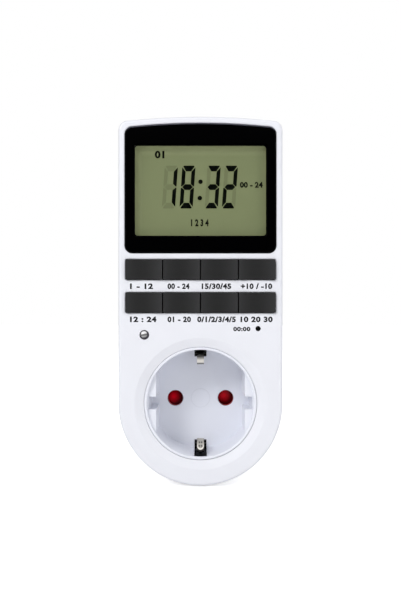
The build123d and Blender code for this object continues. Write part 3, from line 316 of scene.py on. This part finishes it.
def socket_painted_light(paint, base):
    """The insert's colour with painted light and shade: a fine line of painted shade round its middle disc,
    painted shade at the pin holes' rims with their walls painted red as a reflection of the shutter, and the
    earth pockets painted dark as shade.
    """
    # painted shade: a thin darker line round the edge of the middle disc
    disc_edge_shade = paint.ramp(paint.off(paint.distance(paint.x, paint.z), DISC_RADIUS), 0.05, 0.25, 0.13, 0.0)
    lined = paint.blend(disc_edge_shade, base, shade(INSERT, 0.5))
    from_pin = paint.distance(paint.maths("SUBTRACT", paint.maths("ABSOLUTE", paint.x), PIN_X), paint.z)
    # painted shade round each pin hole's rim, and its white wall painted red as a painted reflection of the
    # red shutter
    rim_shade = paint.ramp(from_pin, HOLE_RADIUS + 0.14, HOLE_RADIUS + 0.04)
    wall_red_reflection = paint.ramp(from_pin, HOLE_RADIUS + 0.02, HOLE_RADIUS + 0.01)
    holed = paint.blend(wall_red_reflection, paint.blend(rim_shade, lined, srgb(40, 2, 10)), srgb(190, 12, 28))
    # painted shade: the walls of the earth tongues' pockets painted near black
    within = paint.maths("LESS_THAN", paint.maths("ABSOLUTE", paint.x), POCKET_HALF)
    outward = paint.maths("GREATER_THAN", paint.maths("ABSOLUTE", paint.z), POCKET_INNER)
    behind = paint.maths("GREATER_THAN", paint.y, POCKET_FRONT)
    pocket_shade = paint.maths("MULTIPLY", paint.maths("MULTIPLY", within, outward), behind)
    return paint.blend(pocket_shade, holed, (0.002, 0.002, 0.003))


def key_rubber_painted_sheen():
    """Black key rubber with painted sheen: darkest in the hollow of each key and painted paler towards its
    sides.
    """
    paint = Paint("key_rubber")
    shade_offset = 0.7    # the darkest place is this far left of the key's middle
    from_gap = paint.maths("PINGPONG", paint.maths("ADD", paint.x, shade_offset), KEY_PITCH / 2)
    # painted sheen: each key painted paler towards its sides than in its hollow
    side = paint.maths("POWER", paint.ramp(from_gap, KEY_PITCH / 2 - 0.6, 0.0), 1.6)
    fine = paint.noise(0.16, 3.0, 0.6)
    base = paint.blend(side, srgb(12, 12, 12), srgb(38, 38, 39))
    paint.set(Base_Color=paint.blend(paint.spread(fine, 0.0, 0.25), base, srgb(40, 40, 41)))
    paint.set(Roughness=paint.spread(fine, 0.42, 0.5), Specular_IOR_Level=0.35)
    paint.bump(fine, 0.003)
    return paint.material


def shutter_plastic():
    """Deep red plastic, with a painted highlight under the middle of each pin hole and painted shade under
    its rim.
    """
    paint = Paint("shutter_red")
    shine_left = 0.7    # the brightest place is this far left of the hole's middle
    shine_up = 0.35     # and this far above it
    right = paint.off(paint.x, PIN_X - shine_left)
    left = paint.off(paint.x, -PIN_X - shine_left)
    above = paint.maths("SUBTRACT", paint.z, shine_up)
    from_shine = paint.distance(paint.maths("MINIMUM", right, left), above)
    # painted shade towards each hole's rim, round the painted highlight
    rim_shade = paint.maths("ADD", paint.ramp(from_shine, 0.6, 3.0), paint.spread(paint.noise(1.2), 0.0, 0.1))
    grain = paint.noise(0.2, 2.0, 0.6)
    paint.set(Base_Color=paint.blend(rim_shade, srgb(255, 4, 40), srgb(92, 0, 10)))
    paint.set(Roughness=paint.spread(grain, 0.3, 0.38), Specular_IOR_Level=0.1)
    paint.bump(grain, 0.003)
    return paint.material


# ---- display and indicator light ----
def beyond_view(paint):
    """Distances past the edges of the window's view, across and up."""
    across = paint.maths("SUBTRACT", paint.maths("ABSOLUTE", paint.x), VIEW_HALF)
    up = paint.maths("SUBTRACT", paint.off(paint.z, (VIEW_LOW + VIEW_HIGH) / 2), (VIEW_HIGH - VIEW_LOW) / 2)
    return across, up


def window_plate():
    """Clear window with fine wipe marks, printed black behind its border, so only the view is see-through.
    Its upward-facing bevel is painted grey-lilac as a painted highlight.
    """
    paint = Paint("window_clear")
    across, up = beyond_view(paint)
    border = paint.ramp(paint.maths("MAXIMUM", across, up), 0.35, 0.5)
    # painted highlight: the faces of the bevel that turn upwards
    bevel_highlight = paint.ramp(paint.split(paint.normal)["Z"], 0.3, 0.65)
    wipes = paint.noise(0.8, 5.0, 0.7, stretch=(0.15, 1.0, 1.0))
    paint.set(Base_Color=paint.blend(bevel_highlight, (0.0005, 0.0005, 0.0007), srgb(86, 86, 96)))
    paint.set(Roughness=paint.ramp(wipes, 0.35, 0.75, 0.03, 0.055), IOR=1.49, Specular_IOR_Level=0.12)
    paint.set(Alpha=paint.ramp(border, 0.0, 1.0, 0.03, 1.0))
    return paint.material


def screen_green(name):
    """Olive display seen through its polariser. Its border is paler and yellower, partly its own look and
    partly painted light, and under its top and beside its left edge it is painted lighter against the shade
    that the window's border casts.
    """
    paint = Paint(name)
    across, up = beyond_view(paint)
    # paler border: partly the display's own look, partly painted light
    near_edge = paint.maths("MAXIMUM", paint.ramp(across, -2.2, 0.3), paint.ramp(up, -1.6, 0.3))
    edge = paint.ramp(paint.maths("POWER", near_edge, 2.0), 0.0, 1.0, 0.0, 0.55)
    # painted light under the top edge and beside the left edge, offsetting the shade cast by the window's
    # border
    under_top = paint.ramp(paint.z, VIEW_HIGH - 3.6, VIEW_HIGH)
    beside_left = paint.ramp(paint.x, 2.6 - VIEW_HALF, -VIEW_HALF)
    lit = paint.maths("POWER", paint.maths("MAXIMUM", under_top, beside_left), 1.2)
    bright = paint.ramp(lit, 0.0, 1.0, 0.0, 0.55)
    fibres = paint.noise(0.12, 3.0, 0.7)
    base = paint.blend(paint.spread(fibres), shade(SCREEN, 0.965), shade(SCREEN, 1.035))
    paint.set(Base_Color=paint.blend(bright, paint.blend(edge, base, SCREEN_EDGE), SCREEN_PAINTED_LIGHT))
    paint.set(Roughness=paint.spread(fibres, 0.55, 0.68), Specular_IOR_Level=0.1)
    paint.bump(fibres, 0.004)
    return paint.material


def lens():
    """Clear lens with its light and shade painted on: a painted dark rim, and painted bright bands above and
    below a painted dark band, which stand for the cup and the edge of its post inside.
    """
    paint = Paint("led_clear")
    slope = -0.15     # of the bright and dark bands of the cup
    cup_half = 1.5    # height of the bands above and below the middle
    lean = 0.17       # widens the dark rim towards its lower right
    # painted reflections and shade standing for the cup and post inside the lens
    lens_light_stops = [
        (0.0, 0.03), (0.2, 0.12), (0.27, 0.42), (0.38, 0.38), (0.46, 0.12),
        (0.56, 0.15), (0.66, 0.7), (0.8, 0.95), (1.0, 0.6),
    ]
    x = paint.maths("SUBTRACT", paint.x, (led_low.x + led_high.x) / 2 / MM)
    z = paint.maths("SUBTRACT", paint.z, (led_low.z + led_high.z) / 2 / MM)
    painted_bands = paint.stops(paint.maths("ADD", z, paint.maths("MULTIPLY", x, slope)), -cup_half, cup_half, lens_light_stops)
    lower_right = paint.maths("MULTIPLY", paint.maths("SUBTRACT", x, z), lean)
    # painted shade round the lens's rim
    rim_shade = paint.ramp(paint.maths("ADD", paint.distance(x, z), lower_right), 0.95, 1.3)
    paint.set(Base_Color=paint.blend(rim_shade, painted_bands, (0.075, 0.07, 0.085)))
    paint.set(Roughness=paint.spread(paint.noise(0.9), 0.08, 0.14), IOR=1.5)
    return paint.material


def printed(name, colour, specular):
    """Pad-printed ink with a slightly uneven film."""
    paint = Paint(name)
    film = paint.noise(0.3, 3.0, 0.6)
    paint.set(Base_Color=paint.blend(paint.spread(film), colour, shade(colour, 1.25)))
    paint.set(Roughness=paint.spread(film, 0.42, 0.55), Specular_IOR_Level=specular)
    paint.bump(film, 0.002)
    return paint.material


def unlit_bars():
    """The bars that the display leaves unlit, a little darker than its ground."""
    paint = Paint("segment_ghost")
    film = paint.spread(paint.noise(0.5))
    paint.set(Base_Color=paint.blend(film, shade(SCREEN, 0.77), shade(SCREEN, 0.81)))
    paint.set(Roughness=0.5, Specular_IOR_Level=0.1)
    return paint.material


# ---- metals ----
def metal(name, colour, rough, line_size=0.25, stretch=None):
    """Plated or drawn metal: fine lines, cloudy tarnish and uneven gloss."""
    paint = Paint(name)
    cloud = paint.ramp(paint.noise(2.5, 4.0, 0.6), 0.35, 0.7)
    lines = paint.noise(line_size, 3.0, 0.6, stretch)
    paint.set(Base_Color=paint.blend(cloud, colour, shade(colour, 0.88)))
    paint.set(Roughness=paint.ramp(lines, 0.25, 0.75, rough - 0.06, rough + 0.08), Metallic=1.0)
    paint.bump(lines, 0.004)
    return paint.material


def upper_tongue(paint):
    """Brightness painted on the upper earth tongue: a painted highlight across its crest and painted shade in
    its folds.
    """
    upper_tongue_light = [(0.0, 0.16), (0.27, 0.22), (0.34, 1.0), (0.52, 1.0), (0.64, 0.5), (0.76, 0.12), (0.9, 0.03)]
    return paint.stops(paint.z, 12.5, 17.5, upper_tongue_light)


def lower_tongue(paint):
    """Brightness painted on the lower earth tongue: a grey strip with four dimples painted as darker spots, a
    painted highlight along its border, then painted shade.
    """
    strip_end = -15.5
    dimple_middle = -15.05
    dimple_x = 0.4
    dimple_z = 0.54
    past_end = paint.maths("MINIMUM", paint.maths("SUBTRACT", paint.z, strip_end), 0.0)
    from_strip = paint.distance(paint.x, past_end)
    border = paint.ramp(paint.z, -14.3, -16.2, 0.42, 1.0)
    across = paint.maths("SUBTRACT", paint.maths("ABSOLUTE", paint.x), dimple_x)
    up = paint.maths("SUBTRACT", paint.off(paint.z, dimple_middle), dimple_z)
    dimpled = paint.ramp(paint.distance(across, up), 0.18, 0.42, 0.1, 0.5)
    # painted highlight along the strip's border and painted shade beyond it
    strip = paint.blend(paint.ramp(from_strip, 0.78, 0.98), dimpled, border)
    return paint.blend(paint.ramp(from_strip, 1.2, 1.34), strip, (0.02, 0.02, 0.02))


def spring_nickel():
    """Nickel strip, less of a mirror on its sprung tongues, which have highlights and shade painted on."""
    paint = Paint("earth_nickel")
    tint = (0.93, 0.89, 0.81)
    # painted highlights and shade on the two tongues
    tongue_painted_light = paint.blend(paint.maths("GREATER_THAN", paint.z, 0.0), lower_tongue(paint), upper_tongue(paint))
    tongue = paint.maths("LESS_THAN", paint.y, TONGUE_BACK)
    cloud = paint.ramp(paint.noise(2.5, 4.0, 0.6), 0.35, 0.7)
    plain = paint.blend(cloud, (0.84, 0.84, 0.84), (0.74, 0.74, 0.74))
    lines = paint.noise(0.2, 3.0, 0.6, stretch=(1, 0.1, 1))
    paint.set(Base_Color=paint.blend(1.0, paint.blend(tongue, plain, tongue_painted_light), tint, "MULTIPLY"))
    paint.set(Roughness=paint.ramp(lines, 0.25, 0.75, 0.3, 0.42))
    paint.set(Metallic=paint.ramp(tongue, 0.0, 1.0, 1.0, 0.35))
    paint.bump(lines, 0.004)
    return paint.material


# ---- finishes of the inner parts ----
def ceramic(name, colour, rough):
    """Dipped, cast or wound part: body colour with fine specks and soft unevenness."""
    paint = Paint(name)
    specks = paint.ramp(paint.noise(0.35, 4.0, 0.7), 0.35, 0.65)
    paint.set(Base_Color=paint.blend(specks, shade(colour, 0.94), shade(colour, 1.06)))
    paint.set(Roughness=paint.spread(paint.noise(1.5), rough - 0.05, rough + 0.05))
    paint.bump(paint.noise(0.6), 0.02)
    return paint.material


def board(name, colour):
    """Printed board: solder mask over the weave of the laminate, with fine copper runs under it."""
    paint = Paint(name)
    weft, warp = [paint.pattern("ShaderNodeTexWave", Scale=0.9, bands_direction=way) for way in "XZ"]
    weave = paint.maths("MULTIPLY", weft, warp)
    runs = paint.pattern("ShaderNodeTexBrick", Scale=0.35)
    base = paint.blend(paint.ramp(weave, 0.0, 1.0, 0.0, 0.35), colour, shade(colour, 1.35))
    paint.set(Base_Color=paint.blend(paint.ramp(runs, 0.0, 1.0, 0.0, 0.5), base, shade(colour, 0.7)))
    paint.set(Roughness=paint.spread(paint.noise(2.0), 0.28, 0.4))
    paint.bump(weave, 0.015)
    return paint.material


def wound(name, colour):
    """Enamelled copper wire in close turns, with painted shade in the grooves between them."""
    paint = Paint(name)
    turns = paint.pattern("ShaderNodeTexWave", Scale=1.6, bands_direction="Y")
    # painted shade between the turns
    paint.set(Base_Color=paint.blend(turns, shade(colour, 0.35), colour))
    paint.set(Roughness=paint.ramp(turns, 0.0, 1.0, 0.5, 0.28), Metallic=0.8)
    paint.bump(turns, 0.08)
    return paint.material


# ---- each node of the frame gets the finish of its material slot ----
case_white = moulded("case_white", WHITE, 0.36, specular=0.3, marks=edge_painted_shade)
mat_rubber = moulded("mat_rubber", srgb(70, 70, 74), 0.6, grain_size=0.16, grain_depth=0.006,
                     mottle=0.05, specular=0.3)
finishes = {
    "case_white": case_white,
    "insert_white": moulded("insert_white", INSERT, 0.36, marks=socket_painted_light),
    "window_clear": window_plate(),
    "mask_black": moulded("mask_black", srgb(3, 3, 4), 0.5, grain_size=0.2, grain_depth=0.001,
                          mottle=0.05, specular=0.1),
    "display_glass": screen_green("display_glass"),
    "reflector_green": screen_green("reflector_green"),
    "frame_white": moulded("frame_white", srgb(225, 226, 228), 0.45),
    "zebra_rubber": ceramic("zebra_rubber", srgb(150, 60, 60), 0.6),
    "key_rubber": key_rubber_painted_sheen(),
    "mat_rubber": mat_rubber,
    "led_clear": lens(),
    "tinned": metal("tinned", (0.78, 0.78, 0.76), 0.32),
    "switch_black": moulded("switch_black", srgb(5, 5, 6), 0.5, specular=0.05),
    "board_green": board("board_green", srgb(28, 84, 48)),
    "crystal_can": metal("crystal_can", (0.8, 0.8, 0.78), 0.22, line_size=0.2, stretch=(1, 1, 0.05)),
    "ribbon_grey": ceramic("ribbon_grey", srgb(165, 166, 168), 0.5),
    "relay_plastic": moulded("relay_plastic", srgb(40, 74, 130), 0.4),
    "coil_copper": wound("coil_copper", (0.72, 0.32, 0.12)),
    "capacitor_yellow": ceramic("capacitor_yellow", srgb(222, 176, 40), 0.4),
    "varistor_blue": ceramic("varistor_blue", srgb(40, 90, 168), 0.38),
    "resistor_tan": ceramic("resistor_tan", srgb(196, 164, 118), 0.45),
    "fuse_white": ceramic("fuse_white", srgb(228, 226, 218), 0.35),
    "shutter_red": shutter_plastic(),
    "contact_brass": metal("contact_brass", (0.78, 0.58, 0.28), 0.3, line_size=0.2, stretch=(1, 0.1, 1)),
    "earth_nickel": spring_nickel(),
    "pin_nickel": metal("pin_nickel", (0.76, 0.74, 0.7), 0.24, line_size=0.25, stretch=(1, 0.06, 1)),
    "wire_live": moulded("wire_live", srgb(112, 62, 34), 0.45),
    "wire_neutral": moulded("wire_neutral", srgb(40, 92, 176), 0.45),
}
for part in frame["record"]["subparts"]:
    item = nodes[part["node"]]
    item.data.materials.clear()
    item.data.materials.append(finishes[part["material_slot"]])


# ---- camera ----
def place_camera():
    """Level camera in front of the case, a little below the case's middle."""
    data = bpy.data.cameras.new("camera")
    data.sensor_width = CAMERA_SENSOR
    data.lens = CAMERA_LENS
    data.shift_y = CAMERA_SHIFT
    data.clip_start = 0.01
    data.clip_end = 20.0
    camera = bpy.data.objects.new("camera", data)
    camera.location = (0.0, face_y - CAMERA_GAP * MM, CAMERA_HEIGHT * MM)
    camera.rotation_euler = (math.radians(90), 0, 0)
    scene.collection.objects.link(camera)
    scene.camera = camera


# ---- stage and light ----
def world_light():
    """White to the camera and a soft room as light. Reflections see white, but dark behind the camera."""
    world = bpy.data.worlds.new("studio")
    scene.world = world
    world.use_nodes = True
    graph = Graph(world.node_tree)
    graph.tree.nodes.clear()
    direction = graph.split(graph.add("ShaderNodeTexCoord").outputs["Generated"])
    away = graph.ramp(direction["Y"], -0.98, -0.80, curve="SMOOTHSTEP")
    rays = graph.add("ShaderNodeLightPath").outputs
    room = graph.add("ShaderNodeBackground", Color=(0.985, 0.99, 1.0, 1))
    graph.join(graph.ramp(away, 0.0, 1.0, ROOM_DARK, ROOM_LIGHT), room.inputs["Strength"])
    seen = graph.add("ShaderNodeBackground", Color=(1, 1, 1, 1))
    graph.join(graph.maths("MAXIMUM", rays["Is Camera Ray"], away), seen.inputs["Strength"])
    shown = rays["Is Camera Ray"]
    for kind in ("Is Glossy Ray", "Is Transmission Ray"):
        shown = graph.maths("MAXIMUM", shown, rays[kind])
    mix = graph.add("ShaderNodeMixShader")
    graph.join(shown, mix.inputs["Fac"])
    graph.join(room.outputs[0], mix.inputs[1])
    graph.join(seen.outputs[0], mix.inputs[2])
    graph.join(mix.outputs[0], graph.add("ShaderNodeOutputWorld").inputs["Surface"])


def lamp(name, place, side, power):
    """Square lamp turned towards the middle of the case. Its place and side are in metres."""
    target = Vector((0.0, -0.03, 0.036))
    data = bpy.data.lights.new(name, "AREA")
    data.shape = "RECTANGLE"
    data.size = side
    data.size_y = side
    data.energy = power
    item = bpy.data.objects.new(name, data)
    scene.collection.objects.link(item)
    item.location = place
    item.rotation_euler = (target - Vector(place)).to_track_quat("-Z", "Y").to_euler()


def floor():
    """Pale floor just under the case. A glow that only the camera sees keeps it near white."""
    paint = Paint("floor_paper")
    cloud = paint.spread(paint.noise(40.0))
    paint.set(Base_Color=paint.blend(cloud, (0.86, 0.86, 0.865), (0.89, 0.89, 0.893)))
    paint.set(Roughness=0.95, Specular_IOR_Level=0.0, Emission_Color=(1, 1, 1))
    camera_ray = paint.add("ShaderNodeLightPath").outputs["Is Camera Ray"]
    paint.set(Emission_Strength=paint.maths("MULTIPLY", camera_ray, FLOOR_GLOW))
    height = cad_low.z - FLOOR_GAP * MM
    corners = [(x * FLOOR_REACH, y * FLOOR_REACH, height) for x, y in ((-1, -1), (1, -1), (1, 1), (-1, 1))]
    mesh = bpy.data.meshes.new("floor")
    mesh.from_pydata(corners, [], [(0, 1, 2, 3)])
    mesh.materials.append(paint.material)
    item = bpy.data.objects.new("floor", mesh)
    scene.collection.objects.link(item)


place_camera()
world_light()
lamp("key", place=(-0.72, -1.05, 0.92), side=0.48, power=9.2)
lamp("fill", place=(0.75, -0.9, 0.05), side=0.6, power=1.8)
lamp("rear", place=(0.3, 0.8, 0.6), side=0.6, power=1.5)
floor()


# ---- drawing helpers ----
def finish_mesh(name, mesh, material):
    """Object made of a bmesh, which rides on the case."""
    data = bpy.data.meshes.new(name)
    mesh.to_mesh(data)
    mesh.free()
    data.materials.append(material)
    item = bpy.data.objects.new(name, data)
    scene.collection.objects.link(item)
    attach(item, "case")
    return item


def solid_from(name, loops, front, back, material, slot=None):
    """Flat shapes given as closed loops of (x, z), thickened from front to back along Y."""
    mesh = bmesh.new()
    for loop in loops:
        near = [mesh.verts.new((x * MM, front * MM, z * MM)) for x, z in loop]
        far = [mesh.verts.new((x * MM, back * MM, z * MM)) for x, z in loop]
        mesh.faces.new(near)
        mesh.faces.new(list(reversed(far)))
        for i in range(len(loop)):
            j = (i + 1) % len(loop)
            mesh.faces.new((near[j], near[i], far[i], far[j]))
    bmesh.ops.recalc_face_normals(mesh, faces=mesh.faces)
    finish_mesh(name, mesh, material)


def raised_text(name, text, bold, spacing):
    """Text in X and Y in Blender's own font, widened by bold and reaching as far to each side along Z."""
    curve = bpy.data.curves.new(name, "FONT")
    curve.body = text
    curve.align_x = "CENTER"
    curve.space_character = spacing
    curve.resolution_u = 3
    curve.bevel_depth = bold
    curve.bevel_resolution = 0
    holder = bpy.data.objects.new(name + "_source", curve)
    scene.collection.objects.link(holder)
    bpy.context.view_layer.update()
    graph = bpy.context.evaluated_depsgraph_get()
    flat = bpy.data.meshes.new_from_object(holder.evaluated_get(graph))
    bpy.data.objects.remove(holder)
    mesh = bmesh.new()
    mesh.from_mesh(flat)
    bpy.data.meshes.remove(flat)
    bmesh.ops.remove_doubles(mesh, verts=mesh.verts, dist=1e-5)
    return mesh


def lettering(name, text, middle, cap, width, front, thick, bold, spacing, material):
    """Plain numbers and signs as a thin film, centred at (x, z) and fitted to a height and width."""
    font_cap = 0.729    # height of a capital in Blender's own font at size 1
    mesh = raised_text(name, text, bold, spacing)
    low = min(vert.co.x for vert in mesh.verts)
    high = max(vert.co.x for vert in mesh.verts)
    across = width / (high - low)
    up = cap / (font_cap + 2 * bold)
    for vert in mesh.verts:
        x = middle[0] + (vert.co.x - (low + high) / 2) * across
        y = front + thick * (bold - vert.co.z) / (2 * bold)
        z = middle[1] + (vert.co.y - font_cap / 2) * up
        vert.co = Vector((x, y, z)) * MM
    bmesh.ops.recalc_face_normals(mesh, faces=mesh.faces)
    finish_mesh(name, mesh, material)


# ---- walls of the plug boss ----
def boss_wall(name, outer, middle, span):
    """Stretch of the boss's round wall about a direction in degrees, over a span of Y."""
    steps = 12
    inner = BOSS_RADIUS - BOSS_WALL
    angles = [math.radians(middle + BOSS_CORNER_HALF * (2 * i / steps - 1)) for i in range(steps + 1)]
    loop = [(outer * math.cos(a), outer * math.sin(a)) for a in angles]
    loop += [(inner * math.cos(a), inner * math.sin(a)) for a in reversed(angles)]
    solid_from(name, [loop], *span, case_white, slot="case_white")


corner_angles = (BOSS_CORNER, 180 - BOSS_CORNER, -BOSS_CORNER, 180 + BOSS_CORNER)
for number, angle in enumerate(corner_angles, start=1):
    boss_wall(f"boss_corner_{number}", BOSS_RADIUS, angle, BOSS_SPAN)
    boss_wall(f"boss_root_{number}", BOSS_RADIUS + ROOT_SPREAD, angle, ROOT_SPAN)


# ---- rubber webs under the keys ----
def key_web(key):
    """The web of one key, cut from the row of webs."""
    low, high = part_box(key)
    middle = (low + high) / 2
    mesh = bmesh.new()
    mesh.from_mesh(nodes["keypad_webs"].data)
    reach_x = KEY_PITCH / 2 * MM
    reach_z = ROW_PITCH / 2 * MM
    others = [v for v in mesh.verts if abs(v.co.x - middle.x) > reach_x or abs(v.co.z - middle.z) > reach_z]
    bmesh.ops.delete(mesh, geom=others, context="VERTS")
    web = finish_mesh(key + "_web", mesh, mat_rubber)
    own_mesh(web)
    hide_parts("keypad_webs")


for part in frame["record"]["subparts"]:
    if part["node"].startswith("key_"):
        key_web(part["node"])


# ---- printed legends; their places, widths and cap heights are pixels of the picture ----
def on_face(column, row):
    """Place on the front face that the picture shows at a pixel."""
    return (column - MIDDLE_COLUMN) * PIXEL, MIDDLE_ROW_Z - (row - MIDDLE_ROW) * PIXEL


def legend(name, text, left, right, row, cap):
    """Legend on the front face, fitted between two pixel columns and centred on a pixel row."""
    film = 0.024
    middle = on_face((left + right) / 2, row)
    size = (cap * PIXEL, (right - left) * PIXEL)
    lettering(name, text, middle, *size, face_mm - film / 2, film, bold=0.05, spacing=1.1, material=ink)


ink = printed("legend_ink", srgb(20, 20, 23), specular=0.2)
UPPER_ROW = 286.1
LOWER_ROW = 319.2
KEY_CAP = 5.9
legend("legend_1", "1 - 12", left=130.0, right=153.0, row=UPPER_ROW, cap=KEY_CAP)
legend("legend_2", "00 - 24", left=167.5, right=189.5, row=UPPER_ROW, cap=KEY_CAP)
legend("legend_3", "15/30/45", left=201.7, right=231.2, row=UPPER_ROW, cap=KEY_CAP)
legend("legend_4", "+10 / -10", left=240.7, right=272.2, row=UPPER_ROW, cap=KEY_CAP)
legend("legend_5", "12 : 24", left=130.0, right=156.5, row=LOWER_ROW, cap=KEY_CAP)
legend("legend_6", "01 - 20", left=167.5, right=191.0, row=LOWER_ROW, cap=KEY_CAP)
legend("legend_7", "0/1/2/3/4/5", left=197.2, right=235.8, row=LOWER_ROW, cap=KEY_CAP)
legend("legend_8", "10 20 30", left=240.5, right=272.7, row=LOWER_ROW, cap=KEY_CAP)
legend("legend_reset", "00:00", left=233.2, right=250.4, row=328.9, cap=4.6)


# ---- display; the sizes of its figures are pixels of the picture ----
DIGIT_TOP = 165.7
DIGIT_BOTTOM = 208.5
DIGIT_WIDTH = 13.2
DIGIT_LEAN = 3.0             # how far a digit's foot stands to the left of its head
BAR_WIDTH = 3.7              # of the upright bars
BAR_HEIGHT = 5.7             # of the level bars
BAR_GAP = 0.36
BARS_LIT = {"1": "bc", "2": "abdeg", "3": "abcdg", "8": "abcdefg"}


def on_screen(column, row):
    """Place on the display's front glass that the picture shows at a pixel."""
    return (column - MIDDLE_COLUMN) * SCREEN_PIXEL, CAMERA_HEIGHT - (row - HORIZON_ROW) * SCREEN_PIXEL


def digit_segments(right):
    """The seven bars a to g of one leaning digit, whose head reaches to a pixel column."""
    wide = DIGIT_WIDTH
    tall = DIGIT_BOTTOM - DIGIT_TOP
    gap = BAR_GAP
    half = tall / 2
    over = half + BAR_HEIGHT / 2
    under = half - BAR_HEIGHT / 2
    inner = tall - BAR_HEIGHT
    end, corner, drop = 1.0, 0.3, 0.9    # bevelled ends of the level bars
    shoulder, shoulder_in, shoulder_drop = 1.9, 0.35, 1.7    # bevelled ends of the upright bars
    tip = 0.9    # from the digit's sides to the points of its middle bar

    def place(x, y):
        """Where a point of the upright digit, taken from its lower left corner, shows on the glass."""
        leant = x - DIGIT_LEAN * (tall - y) / tall
        return on_screen(right - wide + leant, DIGIT_BOTTOM - y)

    a = [
        (end + gap, tall), (wide - end - gap, tall), (wide - corner - gap * 2, tall - drop),
        (wide - BAR_WIDTH - gap, inner), (BAR_WIDTH + gap, inner), (corner + gap * 2, tall - drop),
    ]
    f = [
        (0, tall - shoulder), (shoulder_in, tall - shoulder_drop - gap), (BAR_WIDTH, inner - gap),
        (BAR_WIDTH, over + gap * 0.8), (tip, half + gap * 1.6), (0, half + gap * 2.4),
    ]
    g = [
        (tip + gap, half), (BAR_WIDTH + gap * 0.6, over), (wide - BAR_WIDTH - gap * 0.6, over),
        (wide - tip - gap, half), (wide - BAR_WIDTH - gap * 0.6, under), (BAR_WIDTH + gap * 0.6, under),
    ]
    b = [(wide - x, y) for x, y in reversed(f)]
    c = [(wide - x, tall - y) for x, y in f]
    d = [(x, tall - y) for x, y in reversed(a)]
    e = [(x, tall - y) for x, y in reversed(f)]
    bars = zip("abcdefg", (a, b, c, d, e, f, g))
    return {name: [place(x, y) for x, y in points] for name, points in bars}


def round_dot(column, row):
    """One of the two dots between the hours and the minutes."""
    steps = 28
    radius = 2.25 * SCREEN_PIXEL
    x, z = on_screen(column, row)
    turns = [2 * math.pi * i / steps for i in range(steps)]
    return [(x + radius * math.cos(turn), z + radius * math.sin(turn)) for turn in turns]


def display_text(name, text, column, row, cap, width):
    """Small text on the glass, centred at a pixel."""
    size = (cap * SCREEN_PIXEL, width * SCREEN_PIXEL)
    lettering(name, text, on_screen(column, row), *size, SCREEN_FRONT, SCREEN_FILM,
              bold=0.045, spacing=1.05, material=segment_ink)


segment_ink = printed("segment_dark", (0.0012, 0.002, 0.0009), specular=0.03)
screen_back = SCREEN_FRONT + SCREEN_FILM
digit_ends = {"1": 178.0, "8": 195.6, "3": 220.8, "2": 238.0}    # columns that the figures' heads reach to
lit, unlit = [], []
for figure, right in digit_ends.items():
    for bar_name, loop in digit_segments(right).items():
        (lit if bar_name in BARS_LIT[figure] else unlit).append(loop)
lit.append(round_dot(column=200.5, row=181.8))
lit.append(round_dot(column=199.8, row=198.1))
solid_from("display_figures", lit, SCREEN_FRONT, screen_back, segment_ink)
solid_from("display_unlit", unlit, SCREEN_FRONT, screen_back, unlit_bars())
display_text("display_day", "01", column=159.6, row=154.4, cap=7.9, width=9.6)
display_text("display_range", "00 - 24", column=251.3, row=184.7, cap=6.0, width=22.8)
display_text("display_steps", "1 2 3 4", column=199.9, row=222.6, cap=7.4, width=17.6)
